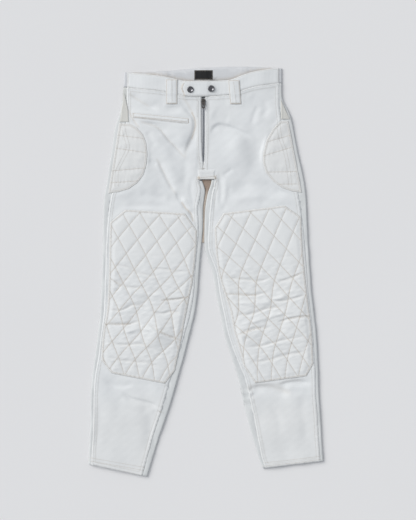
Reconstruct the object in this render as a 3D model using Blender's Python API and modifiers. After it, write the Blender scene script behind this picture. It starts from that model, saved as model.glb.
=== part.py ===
"""Motocross pants in white cotton drill, laid on their back with the front up.

Each sewn piece is a closed wall of its own. The back panels lie on the floor and wrap round the
laid edges of the legs; the front panels lie over them. Knee panels, hip pads, ribs, welt and belt
loops sit on the front. Only the zip's pull tab moves. Sizes are in millimetres, with X to the
wearer's left, Y towards the waist and Z up; solid() turns them into metres.
"""
import math

import bmesh
import bpy
from mathutils import Vector

MM = 0.001

# Cloth
WALL = 1.3
BAND_WALL = 2.4
HEM_WALL = 2.2
GAP = 0.3
ROLL = 3.0
CROWN_REACH = 60.0

# Folds start this far outside a piece that is sewn on the front, and reach full height further on.
CALM_MARGIN = 12.0
CALM_REACH = 14.0

# Waistband
BAND_HEIGHT = 38.0
CENTRE_X = -5.9
BAND_RIGHT_END = -3.1
TAB_TIP_X = -61.4
TAB_END_X = -53.0
TAB_LAP = (2.0, 18.0)
TAB_LIFT = BAND_WALL + 0.6
BACK_LOOP_X = (-105.0, -6.0, 95.0)
BACK_LOOP_WIDTH = 12.0
BACK_LOOP_WALL = 1.2

# Zip
ZIP_TOP = 432.0
ZIP_FOOT = 268.0
TAPE_HALF = 9.0
TAPE_WALL = 0.8
CHAIN_HALF = 2.4
SLIDER_Y = 424.5
SLIDER_LENGTH = 13.0
SLIDER_WALL = 2.4
HINGE_Y = 427.0
HINGE_LIFT = 1.4
PULL_LENGTH = 21.0
PULL_WALL = 1.2

GUSSET_FOOT = 72.0

# Snaps
SNAP_PLACES = ((-38.4, 453.2), (13.6, 455.6))
SNAP_RADIUS = 8.2
SNAP_RISE = 2.6

# The laid outline of each leg, one row for each station from the waist to the hem. The first two
# rows bound the waistband. Columns: outer edge x and y, inner edge x and y, outer seam and inner
# seam, both measured in from the edge. Above the crotch the inner edge is the centre line.
RIGHT_ROWS = (
    (-204.4, 497.4, CENTRE_X, 474.1, 9.0, 0.0),
    (-206.1, 459.4, CENTRE_X, 436.1, 10.0, 5.0),
    (-209.9, 415.6, CENTRE_X, 400.6, 14.0, 5.0),
    (-216.9, 388.1, CENTRE_X, 373.1, 21.0, 5.0),
    (-227.9, 355.6, CENTRE_X, 335.6, 28.0, 4.5),
    (-232.9, 315.6, CENTRE_X, 300.6, 29.0, 3.5),
    (-241.4, 260.6, CENTRE_X, 258.1, 25.0, 0.2),
    (-247.9, 215.6, -8.6, 225.6, 23.0, 8.0),
    (-253.9, 188.1, -1.0, 203.1, 20.0, 12.0),
    (-256.1, 153.1, -6.9, 160.6, 16.0, 14.0),
    (-257.1, 103.1, -6.9, 108.1, 12.0, 12.0),
    (-257.9, 53.1, -11.9, 53.1, 10.0, 11.0),
    (-259.4, -1.9, -16.9, -4.4, 10.0, 11.0),
    (-261.1, -54.4, -20.6, -56.9, 10.0, 11.0),
    (-263.9, -109.4, -28.6, -110.6, 10.0, 12.0),
    (-270.4, -159.4, -41.9, -161.9, 10.0, 14.0),
    (-276.1, -209.4, -54.1, -211.9, 10.0, 16.0),
    (-283.9, -259.4, -68.1, -260.6, 9.0, 19.0),
    (-287.6, -309.4, -83.1, -314.4, 9.0, 19.0),
    (-288.1, -359.4, -99.9, -366.9, 9.0, 18.0),
    (-289.6, -409.4, -116.9, -414.4, 9.0, 17.0),
    (-292.4, -451.9, -131.9, -464.4, 9.0, 15.0),
    (-293.4, -481.4, -146.9, -513.1, 9.0, 13.0),
)
RIGHT_CROTCH = 7
LEFT_ROWS = (
    (189.4, 507.4, CENTRE_X, 474.1, 7.0, 0.0),
    (189.6, 469.4, CENTRE_X, 436.1, 7.0, 5.0),
    (191.1, 430.6, CENTRE_X, 403.1, 9.0, 5.0),
    (203.1, 408.1, CENTRE_X, 378.1, 20.0, 5.0),
    (214.4, 379.4, CENTRE_X, 350.6, 28.0, 4.5),
    (221.6, 340.6, CENTRE_X, 320.6, 30.0, 4.0),
    (228.1, 305.6, CENTRE_X, 290.6, 30.0, 3.0),
    (237.6, 263.9, CENTRE_X, 258.1, 28.0, 0.2),
    (245.6, 225.6, 14.4, 228.1, 24.0, 8.0),
    (250.4, 187.4, 6.1, 200.6, 20.0, 12.0),
    (252.1, 153.1, -1.6, 160.6, 16.0, 14.0),
    (254.4, 103.1, -3.4, 108.1, 12.0, 12.0),
    (257.1, 53.1, -2.4, 53.1, 10.0, 11.0),
    (261.1, -0.6, 16.4, 0.6, 10.0, 11.0),
    (264.9, -54.4, 25.1, -54.4, 10.0, 11.0),
    (271.4, -106.9, 35.6, -104.4, 10.0, 11.0),
    (276.6, -159.4, 46.4, -159.4, 10.0, 12.0),
    (279.9, -211.9, 62.6, -211.9, 10.0, 14.0),
    (281.9, -261.9, 80.1, -263.1, 9.0, 18.0),
    (283.1, -311.9, 90.1, -311.9, 9.0, 20.0),
    (287.1, -364.4, 102.9, -364.4, 9.0, 19.0),
    (289.6, -414.4, 118.1, -419.4, 9.0, 14.0),
    (292.4, -454.4, 131.4, -461.9, 9.0, 9.0),
    (293.6, -473.4, 141.6, -491.9, 9.0, 8.0),
)
LEFT_CROTCH = 8

# Top edges of the waistband: x, y
FRONT_WAIST = (
    (-204.4, 497.4), (-162.4, 492.4), (-124.4, 489.1), (-98.6, 484.9), (-64.4, 477.1), (-49.4, 474.4),
    (-12.9, 473.9), (25.4, 475.1), (57.4, 477.1), (70.6, 480.1), (86.1, 487.4), (111.6, 496.1),
    (137.1, 501.4), (169.1, 505.9), (189.4, 507.4),
)
BACK_WAIST = (
    (-204.4, 497.4), (-155.9, 497.8), (-89.4, 500.6), (-64.4, 502.8), (-38.4, 507.4),
    (5.6, 508.4), (38.1, 511.6), (110.6, 510.6), (142.4, 510.4), (189.4, 507.4),
)

# How high the front stands above the laid edges: y, rise
CROWN = ((-520.0, 0.3), (-150.0, 0.5), (150.0, 0.4), (230.0, 1.0), (300.0, 2.6), (380.0, 4.6),
         (436.0, 5.6), (512.0, 6.0))

# Largest folds of the front. Columns: start x and y, end x and y, sideways bow, height (a trough is
# below zero) and half width.
FOLDS = (
    (-69.4, 433.1, -50.9, 295.6, 36.0, -3.0, 8.0),
    (-88.0, 428.0, -70.0, 292.0, 36.0, 2.6, 15.0),
    (-142.9, 362.0, -50.9, 276.6, 6.0, -2.6, 9.0),
    (-128.0, 372.0, -52.0, 312.0, 6.0, 2.0, 13.0),
    (-191.9, 440.0, -138.0, 406.0, 0.0, -2.0, 9.0),
    (-67.4, 189.9, -16.0, 100.0, 0.0, -3.0, 7.0),
    (-50.0, 205.0, -12.0, 150.0, 4.0, 2.6, 9.0),
    (-140.0, 262.0, -88.0, 190.0, 10.0, -2.0, 10.0),
    (-158.0, 185.0, -60.0, 172.0, 0.0, -1.8, 9.0),
    (-256.9, -270.0, -175.0, -302.0, -4.0, -2.0, 9.0),
    (-205.4, -306.9, -120.0, -345.0, -4.0, -2.4, 9.0),
    (-225.0, -352.0, -150.0, -372.0, 0.0, 1.6, 13.0),
    (15.6, 303.1, 110.6, 333.1, 44.0, -2.6, 9.0),
    (66.0, 346.0, 82.0, 262.0, 0.0, 4.0, 30.0),
    (113.1, 378.1, 123.1, 270.0, 0.0, -2.8, 12.0),
    (18.0, 270.0, 26.0, 200.0, 0.0, -1.8, 8.0),
    (44.0, 222.0, 66.0, 170.0, 0.0, -1.8, 9.0),
    (116.0, -292.0, 262.0, -272.0, -19.0, -3.4, 10.0),
    (120.0, -318.0, 262.0, -298.0, -14.0, 2.2, 14.0),
    (88.0, -318.0, 128.0, -330.0, 0.0, 2.0, 9.0),
)
# Creases across the bent knees, on the outer points of the knee panels. Same columns.
KNEE_FOLDS = (
    (-240.0, 6.0, -120.0, -4.0, 6.0, -1.6, 9.0),
    (-235.0, -28.0, -80.0, -50.0, 4.0, -1.6, 9.0),
    (-250.0, -118.0, -110.0, -112.0, -6.0, -2.2, 11.0),
    (-190.0, -140.0, -76.0, -178.0, 4.0, 1.8, 12.0),
    (-246.0, -176.0, -100.0, -202.0, -5.0, -2.0, 10.0),
    (66.0, -58.0, 180.0, -56.0, 4.0, -1.6, 9.0),
    (150.0, -22.0, 236.0, -8.0, 5.0, -1.6, 9.0),
    (104.0, -122.0, 206.0, -138.0, -6.0, -2.4, 11.0),
    (84.0, -152.0, 220.0, -106.0, 0.0, 1.8, 12.0),
    (150.0, -94.0, 258.0, -72.0, -4.0, -2.0, 10.0),
)

# Knee panels: rows down the leg. Columns: border beside the outer seam x and y, border beside the
# inner seam x and y. The corners are cut off by the lines in KNEE_CORNERS: from x, y, to x, y.
KNEE_ROWS = {
    "right": (
        (-238.1, 156.1, -23.1, 142.6), (-240.1, 65.6, -22.8, 66.5), (-241.9, -16.9, -32.3, -23.5),
        (-245.6, -91.9, -44.4, -80.8), (-256.1, -154.4, -61.5, -174.0), (-260.6, -216.9, -73.5, -229.0),
        (-261.9, -249.4, -83.1, -284.4),
    ),
    "left": (
        (238.1, 169.4, 21.9, 141.9), (240.6, 78.1, 24.0, 67.1), (248.9, -21.9, 33.6, -10.8),
        (256.9, -86.9, 61.6, -98.8), (264.4, -149.4, 70.5, -148.8), (268.1, -211.9, 85.5, -197.8),
        (269.4, -259.4, 104.4, -281.9),
    ),
}
KNEE_CORNERS = {
    "right": (
        (-238.6, 121.9, -199.4, 154.4), (-51.9, 144.9, -24.0, 105.0),
        (-79.0, -250.0, -101.9, -280.6), (-234.4, -255.6, -260.6, -221.9),
    ),
    "left": (
        (45.6, 146.9, 22.6, 108.1), (238.1, 135.6, 189.0, 170.0),
        (250.6, -263.1, 268.1, -231.9), (103.0, -249.4, 123.1, -279.4),
    ),
}
# Diamonds of the quilting, in the panel's own frame: across from the outer border, down from the
# top. Columns: offset of one line, spacing, and slant (across per unit down).
KNEE_LINES = {
    "right": ((-20.7, 46.0, 0.565), (78.2, 51.7, -0.785)),
    "left": ((78.5, 44.2, 0.45), (-29.3, 53.9, -0.82)),
}
KNEE_WIDTH = 216.0
QUILT_RISE = 2.4
KNEE_EDGE = 18.0

# Hip pads: outline x, y, then the level seams between the channels: from x, y, to x, y.
HIP_OUTLINES = {
    "right": (
        (-215.6, 369.4), (-186.9, 366.9), (-171.9, 358.1), (-156.9, 341.9), (-148.6, 320.6),
        (-145.6, 293.1), (-148.1, 265.6), (-155.6, 240.6), (-170.6, 220.6), (-191.9, 205.6),
        (-216.9, 198.1), (-243.1, 194.9),
    ),
    "left": (
        (206.4, 375.6), (185.6, 374.4), (168.1, 355.6), (151.9, 328.1), (143.1, 293.1), (143.1, 270.6),
        (150.6, 245.6), (168.1, 224.4), (190.6, 208.1), (215.6, 199.4), (240.1, 196.9),
    ),
}
HIP_SEAMS = {
    "right": (
        (-230.0, 341.0, -150.0, 330.6), (-236.0, 309.0, -150.0, 296.0),
        (-236.0, 250.6, -150.0, 258.1), (-240.0, 220.6, -170.0, 225.6),
    ),
    "left": (
        (155.6, 323.9, 214.4, 340.6), (144.4, 288.1, 224.4, 312.6),
        (149.4, 247.4, 227.0, 249.0), (173.1, 217.0, 226.0, 218.0),
    ),
}
PAD_RISE = 3.0

# Ribbed inserts under the waistband: outline x, y
RIB_OUTLINES = {
    "right": ((-202.9, 446.0), (-196.1, 446.0), (-194.0, 401.9), (-187.6, 373.0), (-214.6, 373.0)),
    "left": ((187.2, 459.0), (180.6, 459.0), (180.6, 379.9), (209.9, 379.9), (187.4, 428.0)),
}
RIB_PITCH = 4.0
RIB_RISE = 0.8

WELT_OUTLINE = ((-183.1, 395.6), (-41.9, 381.9), (-41.9, 367.5), (-183.1, 383.1))
BRIDGE_OUTLINE = ((-20.6, 254.4), (24.4, 254.4), (24.4, 230.0), (-20.6, 230.0))
# Front belt loops: middle x at the top, middle x at the foot, y of the foot
LOOP_PLACES = {"right": (-85.0, -85.0, 417.0), "left": (69.4, 75.0, 417.0)}
LOOP_WIDTH = 28.0
LOOP_WALL = 1.6
LABEL = (-28.0, 17.0, 479.0, 502.0)
LABEL_WALL = 0.6

SAMPLES = 2
FRONT_COLUMNS = 14
FLOOR_COLUMNS = 4
ARC = (90.0, 45.0, 0.0, -45.0, -90.0)


def clamp(value, low=0.0, high=1.0):
    return max(low, min(high, value))


def smooth(value):
    t = clamp(value)
    return t * t * (3.0 - 2.0 * t)


def mix(a, b, t):
    return a + (b - a) * t


def read_table(table, x):
    """The second column of a table at x in its first column, on straight lines between the rows."""
    if x <= table[0][0]:
        return table[0][1]
    for (x0, y0), (x1, y1) in zip(table, table[1:]):
        if x <= x1:
            return mix(y0, y1, (x - x0) / (x1 - x0))
    return table[-1][1]


def curve_through(rows, t):
    """A smooth curve through the rows at t, which counts rows from 0."""
    i = min(int(t), len(rows) - 2)
    f = t - i
    before, start, end, after = (rows[clamp(k, 0, len(rows) - 1)] for k in (i - 1, i, i + 1, i + 2))
    values = []
    for p0, p1, p2, p3 in zip(before, start, end, after):
        bend = (2 * p0 - 5 * p1 + 4 * p2 - p3) * f * f + (3 * p1 - p0 - 3 * p2 + p3) * f**3
        values.append(0.5 * (2 * p1 + (p2 - p0) * f + bend))
    return values


def outside(outline, x, y):
    """How far a point lies outside an outline whose corners all bulge out; below zero inside."""
    middle_x = sum(p[0] for p in outline) / len(outline)
    middle_y = sum(p[1] for p in outline) / len(outline)
    furthest = -1e9
    for (ax, ay), (bx, by) in zip(outline, outline[1:] + outline[:1]):
        length = math.hypot(bx - ax, by - ay)
        across = ((by - ay) * (x - ax) - (bx - ax) * (y - ay)) / length
        middle = ((by - ay) * (middle_x - ax) - (bx - ax) * (middle_y - ay)) / length
        furthest = max(furthest, across if middle < 0 else -across)
    return furthest


def fold_height(folds, x, y):
    """The height that a table of folds adds at a point."""
    total = 0.0
    for x0, y0, x1, y1, bow, height, half_width in folds:
        dx, dy = x1 - x0, y1 - y0
        length = math.hypot(dx, dy)
        s = clamp(((x - x0) * dx + (y - y0) * dy) / length**2)
        aside = bow * 4.0 * s * (1.0 - s)
        middle_x = x0 + dx * s - dy / length * aside
        middle_y = y0 + dy * s + dx / length * aside
        distance = math.hypot(x - middle_x, y - middle_y)
        total += height * smooth(4.0 * min(s, 1.0 - s)) * math.exp(-((distance / half_width) ** 2))
    return total


class Leg:
    """One half of the pants: its laid outline, and the height of its front."""

    def __init__(self, name, rows, crotch):
        self.name = name
        self.rows = rows
        self.crotch = crotch
        self.last = len(rows) - 1
        self.way = 1.0 if name == "right" else -1.0

    def at(self, t):
        """Outer x and y, inner x and y, outer seam, inner seam."""
        outer_x, outer_y, inner_x, inner_y, _, _ = curve_through(self.rows, t)
        i = min(int(t), self.last - 1)
        outer_seam = mix(self.rows[i][4], self.rows[i + 1][4], t - i)
        inner_seam = mix(self.rows[i][5], self.rows[i + 1][5], t - i)
        if t < self.crotch:
            inner_x = CENTRE_X
        return outer_x, outer_y, inner_x, inner_y, outer_seam, inner_seam

    def width(self, t):
        outer_x, _, inner_x, _, _, _ = self.at(t)
        return abs(inner_x - outer_x)

    def point(self, t, inward, waist=FRONT_WAIST, reach=3.0):
        """The x and y at a station, measured in from the outer edge. Near the waist the station
        bends to the waistband's own curve."""
        outer_x, outer_y, inner_x, inner_y, _, _ = self.at(t)
        share = inward / abs(inner_x - outer_x)
        x = outer_x + self.way * inward
        y = mix(outer_y, inner_y, share)
        fade = clamp((reach - t) / (reach - 1.0))
        straight = mix(self.rows[0][1], self.rows[0][3], share)
        return x, y + (read_table(waist, x) - straight) * fade

    def find(self, x, y):
        """The station whose line passes through a point."""
        low, high = 0.0, float(self.last)
        for _ in range(24):
            t = 0.5 * (low + high)
            outer_x = self.at(t)[0]
            if self.point(t, self.way * (x - outer_x))[1] > y:
                low = t
            else:
                high = t
        return 0.5 * (low + high)

    def plain_top(self, x, y):
        """The height of the front without its folds."""
        t = self.find(x, y)
        outer_x, _, inner_x, _, _, _ = self.at(t)
        from_outer = self.way * (x - outer_x)
        from_inner = self.way * (inner_x - x)
        leg = smooth(t - self.crotch + 1.0)
        inner_rise = 1.0 - leg * (1.0 - smooth(from_inner / CROWN_REACH))
        height = 2.0 * ROLL + read_table(CROWN, y) * smooth(from_outer / CROWN_REACH) * inner_rise
        edge = smooth((from_outer - ROLL) / 20.0) * mix(1.0, smooth((from_inner - ROLL) / 14.0), leg)
        return height, edge

    def top(self, x, y):
        """The height of the front, with the folds that lie clear of the pieces sewn on it."""
        height, edge = self.plain_top(x, y)
        if edge == 0.0:
            return height
        calm = min(smooth((outside(outline, x, y) - CALM_MARGIN) / CALM_REACH) for outline in CALM)
        return height + fold_height(FOLDS, x, y) * edge * calm

    def wall(self, t):
        return HEM_WALL if t > self.last - 0.6 else WALL


LEGS = {"right": Leg("right", RIGHT_ROWS, RIGHT_CROTCH), "left": Leg("left", LEFT_ROWS, LEFT_CROTCH)}


def knee_outline(name):
    """The octagon of a knee panel."""
    corners = KNEE_CORNERS[name]
    return tuple(p for x0, y0, x1, y1 in corners for p in ((x0, y0), (x1, y1)))


def loop_outline(name):
    top_x, foot_x, foot_y = LOOP_PLACES[name]
    half = LOOP_WIDTH / 2
    return ((top_x - half, 490.0), (top_x + half, 490.0), (foot_x + half, foot_y), (foot_x - half, foot_y))


CALM = (
    knee_outline("right"), knee_outline("left"), HIP_OUTLINES["right"], HIP_OUTLINES["left"],
    RIB_OUTLINES["right"], RIB_OUTLINES["left"], WELT_OUTLINE, BRIDGE_OUTLINE,
    loop_outline("right"), loop_outline("left"),
    ((CENTRE_X - 12, 500.0), (CENTRE_X + 12, 500.0), (CENTRE_X + 12, 230.0), (CENTRE_X - 12, 230.0)),
    ((-70.0, 500.0), (60.0, 500.0), (60.0, 434.0), (-70.0, 434.0)),
)


def leg_over(x):
    return LEGS["right"] if x < CENTRE_X else LEGS["left"]


def material(name, colour, roughness, metallic=0.0):
    made = bpy.data.materials.get(name) or bpy.data.materials.new(name)
    made.use_nodes = True
    shader = made.node_tree.nodes["Principled BSDF"]
    shader.inputs["Base Color"].default_value = (*colour, 1.0)
    shader.inputs["Roughness"].default_value = roughness
    shader.inputs["Metallic"].default_value = metallic
    return made


def white_drill():
    return material("white_drill", (0.80, 0.80, 0.79), 0.85)


def ribbed_knit():
    return material("ribbed_knit", (0.70, 0.70, 0.66), 0.9)


def black_cloth():
    return material("black_cloth", (0.015, 0.015, 0.017), 0.8)


def gusset_cloth():
    return material("gusset_cloth", (0.42, 0.30, 0.22), 0.85)


def dark_metal():
    return material("dark_metal", (0.05, 0.05, 0.055), 0.4, 0.8)


def bright_metal():
    return material("bright_metal", (0.55, 0.55, 0.56), 0.2, 1.0)


def middle_of_outline():
    """The middle of the laid garment, which becomes the origin."""
    outer_x = [row[0] for rows in (RIGHT_ROWS, LEFT_ROWS) for row in rows]
    low_y = min(row[3] for rows in (RIGHT_ROWS, LEFT_ROWS) for row in rows)
    high_y = max(y for _, y in BACK_WAIST)
    return 0.5 * (min(outer_x) + max(outer_x)), 0.5 * (low_y + high_y)


def solid(name, points, faces, surface):
    """A named object from points in millimetres and their faces."""
    middle_x, middle_y = middle_of_outline()
    mesh = bpy.data.meshes.new(name)
    mesh.from_pydata([((x - middle_x) * MM, (y - middle_y) * MM, z * MM) for x, y, z in points], [], faces)
    shape = bmesh.new()
    shape.from_mesh(mesh)
    bmesh.ops.triangulate(shape, faces=shape.faces)
    bmesh.ops.recalc_face_normals(shape, faces=shape.faces)
    shape.to_mesh(mesh)
    shape.free()
    mesh.materials.append(surface)
    made = bpy.data.objects.new(name, mesh)
    bpy.data.collections["motocross_pants"].objects.link(made)
    return made


def wall_solid(name, over, under, surface, has_cell=None):
    """A closed wall between two sheets of points, [row][column]. Cells may be left out."""
    rows, columns = len(over), len(over[0])
    here = {
        (r, c)
        for r in range(rows - 1)
        for c in range(columns - 1)
        if has_cell is None or has_cell(r, c)
    }
    numbers = {}
    points = []
    for layer, sheet in ((0, over), (1, under)):
        for r, c in sorted({(r + i, c + j) for r, c in here for i in (0, 1) for j in (0, 1)}):
            numbers[layer, r, c] = len(points)
            points.append(sheet[r][c])
    faces = []
    for r, c in sorted(here):
        corners = ((r, c), (r, c + 1), (r + 1, c + 1), (r + 1, c))
        faces.append([numbers[0, *p] for p in corners])
        faces.append([numbers[1, *p] for p in reversed(corners)])
        beside = ((r - 1, c), (r, c + 1), (r + 1, c), (r, c - 1))
        for neighbour, a, b in zip(beside, corners, corners[1:] + corners[:1]):
            if neighbour not in here:
                faces.append([numbers[0, *a], numbers[1, *a], numbers[1, *b], numbers[0, *b]])
    return solid(name, points, faces, surface)


def plate_solid(name, plate, under, over, surface):
    """A wall on a flat plate of faces: under(x, y) and over(x, y) give the heights of its sides."""
    plate.verts.ensure_lookup_table()
    flat = [(v.co.x, v.co.y) for v in plate.verts]
    count = len(flat)
    points = [(x, y, under(x, y)) for x, y in flat] + [(x, y, over(x, y)) for x, y in flat]
    faces = []
    for face in plate.faces:
        ring = [v.index for v in face.verts]
        faces.append(ring[::-1])
        faces.append([i + count for i in ring])
    for edge in plate.edges:
        if len(edge.link_faces) == 1:
            a, b = (v.index for v in edge.verts)
            faces.append([a, b, b + count, a + count])
    plate.free()
    return solid(name, points, faces, surface)


def cut(plate, x0, y0, x1, y1, clear=None):
    """Cuts a plate along a line. Where clear is a point, the side away from it is removed."""
    normal = Vector((y1 - y0, x0 - x1, 0.0)).normalized()
    if clear is not None and normal.dot(Vector((clear[0] - x0, clear[1] - y0, 0.0))) > 0:
        normal = -normal
    geometry = plate.verts[:] + plate.edges[:] + plate.faces[:]
    bmesh.ops.bisect_plane(
        plate, geom=geometry, dist=1e-4, plane_co=(x0, y0, 0.0), plane_no=normal,
        clear_outer=clear is not None,
    )


def flat_plate(low_x, low_y, high_x, high_y):
    plate = bmesh.new()
    corners = ((low_x, low_y), (high_x, low_y), (high_x, high_y), (low_x, high_y))
    plate.faces.new([plate.verts.new((x, y, 0.0)) for x, y in corners])
    return plate


def cut_to(plate, outline):
    middle = [sum(p[k] for p in outline) / len(outline) for k in (0, 1)]
    for (x0, y0), (x1, y1) in zip(outline, outline[1:] + outline[:1]):
        cut(plate, x0, y0, x1, y1, middle)


def plate_in(outline, column_step, row_step):
    """A plate in an outline, with lines across it about a step apart."""
    xs = [p[0] for p in outline]
    ys = [p[1] for p in outline]
    low_x, high_x, low_y, high_y = min(xs), max(xs), min(ys), max(ys)
    plate = flat_plate(low_x, low_y, high_x, high_y)
    for low, high, step, upright in ((low_x, high_x, column_step, True), (low_y, high_y, row_step, False)):
        count = max(1, round((high - low) / step))
        for k in range(1, count):
            at = mix(low, high, k / count)
            line = (at, low_y, at, high_y) if upright else (low_x, at, high_x, at)
            cut(plate, *line)
    cut_to(plate, outline)
    return plate


def stations(first, last):
    """The stations of a run, SAMPLES to a row."""
    return [k / SAMPLES for k in range(first * SAMPLES, last * SAMPLES + 1)]


def front_row(leg, t):
    """Points across a front panel, from the outer seam inwards."""
    seam_out, seam_in = leg.at(t)[4:]
    start = seam_out + GAP / 2
    end = leg.width(t) - seam_in - GAP / 2
    return [leg.point(t, mix(start, end, c / FRONT_COLUMNS)) for c in range(FRONT_COLUMNS + 1)]


def front_panel(leg):
    over, under = [], []
    for t in stations(1, leg.last):
        row = front_row(leg, t)
        heights = [leg.top(x, y) for x, y in row]
        over.append([(x, y, z) for (x, y), z in zip(row, heights)])
        under.append([(x, y, z - leg.wall(t)) for (x, y), z in zip(row, heights)])
    return wall_solid("front_" + leg.name, over, under, white_drill())


def rolled_edge(leg, t, wall, inner_side):
    """Outer and inner points round a laid edge, from the top to the floor."""
    outer, inner = [], []
    for angle in ARC:
        turn = math.radians(angle)
        for radius, points in ((ROLL, outer), (ROLL - wall, inner)):
            inward = ROLL - radius * math.cos(turn)
            if inner_side:
                inward = leg.width(t) - inward
            x, y = leg.point(t, inward)
            points.append((x, y, ROLL + radius * math.sin(turn)))
    return outer, inner


def floor_row(leg, t):
    """Points along the back where it lies on the floor, from the outer roll inwards."""
    end = leg.width(t) - (ROLL if t >= leg.crotch else GAP / 2)
    shares = [k / FLOOR_COLUMNS for k in range(1, FLOOR_COLUMNS + 1)]
    return [leg.point(t, mix(ROLL, end, share), BACK_WAIST, leg.crotch - 1.0) for share in shares]


def back_panel(leg):
    """The back: a floor sheet, both rolled edges, and the strips that come up to the front seams.
    Above the crotch it stops at the centre seam."""
    over, under = [], []
    run = stations(1, leg.last)
    for t in run:
        wall = leg.wall(t)
        seam_out, seam_in = leg.at(t)[4:]
        strip = leg.point(t, seam_out - GAP / 2)
        height = leg.top(*strip)
        outer, inner = rolled_edge(leg, t, wall, False)
        outer.insert(0, (*strip, height))
        inner.insert(0, (*strip, height - wall))
        if t >= leg.crotch:
            far_outer, far_inner = rolled_edge(leg, t, wall, True)
            strip = leg.point(t, leg.width(t) - seam_in + GAP / 2)
            height = leg.top(*strip)
            outer += far_outer[::-1] + [(*strip, height)]
            inner += far_inner[::-1] + [(*strip, height - wall)]
        else:
            outer += [(0.0, 0.0, 0.0)] * (len(ARC) + 1)
            inner += [(0.0, 0.0, 0.0)] * (len(ARC) + 1)
        sheet = floor_row(leg, t)
        first = len(ARC) + 1
        outer[first:first + 1] = [(x, y, 0.0) for x, y in sheet]
        inner[first:first + 1] = [(x, y, wall) for x, y in sheet]
        over.append(outer)
        under.append(inner)
    floor_end = len(ARC) + FLOOR_COLUMNS

    def has_cell(r, c):
        return c < floor_end or run[r] >= leg.crotch

    return wall_solid("back_" + leg.name, over, under, white_drill(), has_cell)


def back_band_lift(x):
    """The back waistband rises over its belt loops, which lie flat on the floor."""
    reach = BACK_LOOP_WIDTH / 2 + 8.0
    return max((BACK_LOOP_WALL + GAP) * clamp((reach - abs(x - at)) / 7.0) for at in BACK_LOOP_X)


def loop_steps(low, high, more=()):
    """Columns that follow the rise over each back belt loop."""
    half = BACK_LOOP_WIDTH / 2
    steps = [at + side for at in BACK_LOOP_X for side in (-half - 8, -half - 1, half + 1, half + 8)]
    return [low] + sorted(x for x in (*steps, *more) if low + 2 < x < high - 2) + [high]


def waistband_back():
    over, under = [], []
    head = sorted(floor_row(LEGS["right"], 1.0) + floor_row(LEGS["left"], 1.0))
    for t in (0.0, 0.5, 1.0):
        rows = []
        for leg in LEGS.values():
            strip = leg.point(t, leg.at(t)[4] - GAP / 2)
            z = leg.plain_top(*strip)[0] - WALL
            outer, inner = rolled_edge(leg, t, BAND_WALL, False)
            outer.insert(0, (*strip, z + BAND_WALL))
            inner.insert(0, (*strip, z))
            outer[1] = (*outer[1][:2], 2 * ROLL + BAND_WALL - WALL)
            inner[1] = (*inner[1][:2], 2 * ROLL - WALL)
            rows.append((outer, inner))
        (right_over, right_under), (left_over, left_under) = rows
        floor = loop_steps(right_over[-1][0], left_over[-1][0], [x for x, _ in head])[1:-1]
        lifted = []
        for x in floor:
            y = mix(read_table(BACK_WAIST, x), read_table(head, x), t)
            lifted.append((x, y, back_band_lift(x)))
        over.append(right_over + lifted + left_over[::-1])
        under.append(right_under + [(x, y, z + BAND_WALL) for x, y, z in lifted] + left_under[::-1])
    raised = [[(x, y + (GAP if r == 2 else 0.0), z) for x, y, z in row] for r, row in enumerate(over)]
    inside = [[(x, y + (GAP if r == 2 else 0.0), z) for x, y, z in row] for r, row in enumerate(under)]
    return wall_solid("waistband_back", raised, inside, white_drill())


def band_top(x, y):
    """The outer face of the front waistband."""
    return leg_over(x).plain_top(x, y)[0] - WALL + BAND_WALL


def tab_lift(x):
    return TAB_LIFT * smooth((TAB_LAP[1] - x) / (TAB_LAP[1] - TAB_LAP[0]))


def band_sheet(leg, columns, head, lift, tip=None):
    """A front waistband from its column places, sewn to the panel's head; its last column follows
    the side seam. tip is the x of the pointed end's middle."""
    over, under = [], []
    for r, share in enumerate((0.0, 0.5, 1.0)):
        over_row, under_row = [], []
        seam_x = leg.point(share, leg.at(share)[4] + GAP / 2)[0]
        for c, x in enumerate(columns + [seam_x]):
            if tip is not None and c == 0 and r == 1:
                x = tip
            waist = read_table(FRONT_WAIST, x)
            foot = read_table(head, x) if head[0][0] <= x <= head[-1][0] else waist - BAND_HEIGHT
            y = mix(waist, foot + GAP, share)
            z = band_top(x, y) + lift(x)
            over_row.append((x, y, z))
            under_row.append((x, y, z - BAND_WALL))
        over.append(over_row)
        under.append(under_row)
    return wall_solid("waistband_front_" + leg.name, over, under, white_drill())


def waistband_front():
    head = sorted(front_row(LEGS["right"], 1.0))
    steps = [BAND_RIGHT_END] + [x for x, _ in reversed(head[1:])]
    band_sheet(LEGS["right"], steps, head, lambda x: 0.0)
    head = sorted(front_row(LEGS["left"], 1.0))
    lap = [TAB_END_X, -40.0, -25.0, -10.0, TAB_LAP[0], 7.0]
    band_sheet(LEGS["left"], lap + [x for x, _ in head[:-1] if x > 8.0], head, tab_lift, TAB_TIP_X)


def knee_border(name, down):
    """Outer border and inner border of a knee panel, at a share of its height."""
    rows = KNEE_ROWS[name]
    height = rows[0][1] - rows[-1][1]
    places = [((rows[0][1] - row[1]) / height, k) for k, row in enumerate(rows)]
    return curve_through(rows, read_table(places, down))


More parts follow.
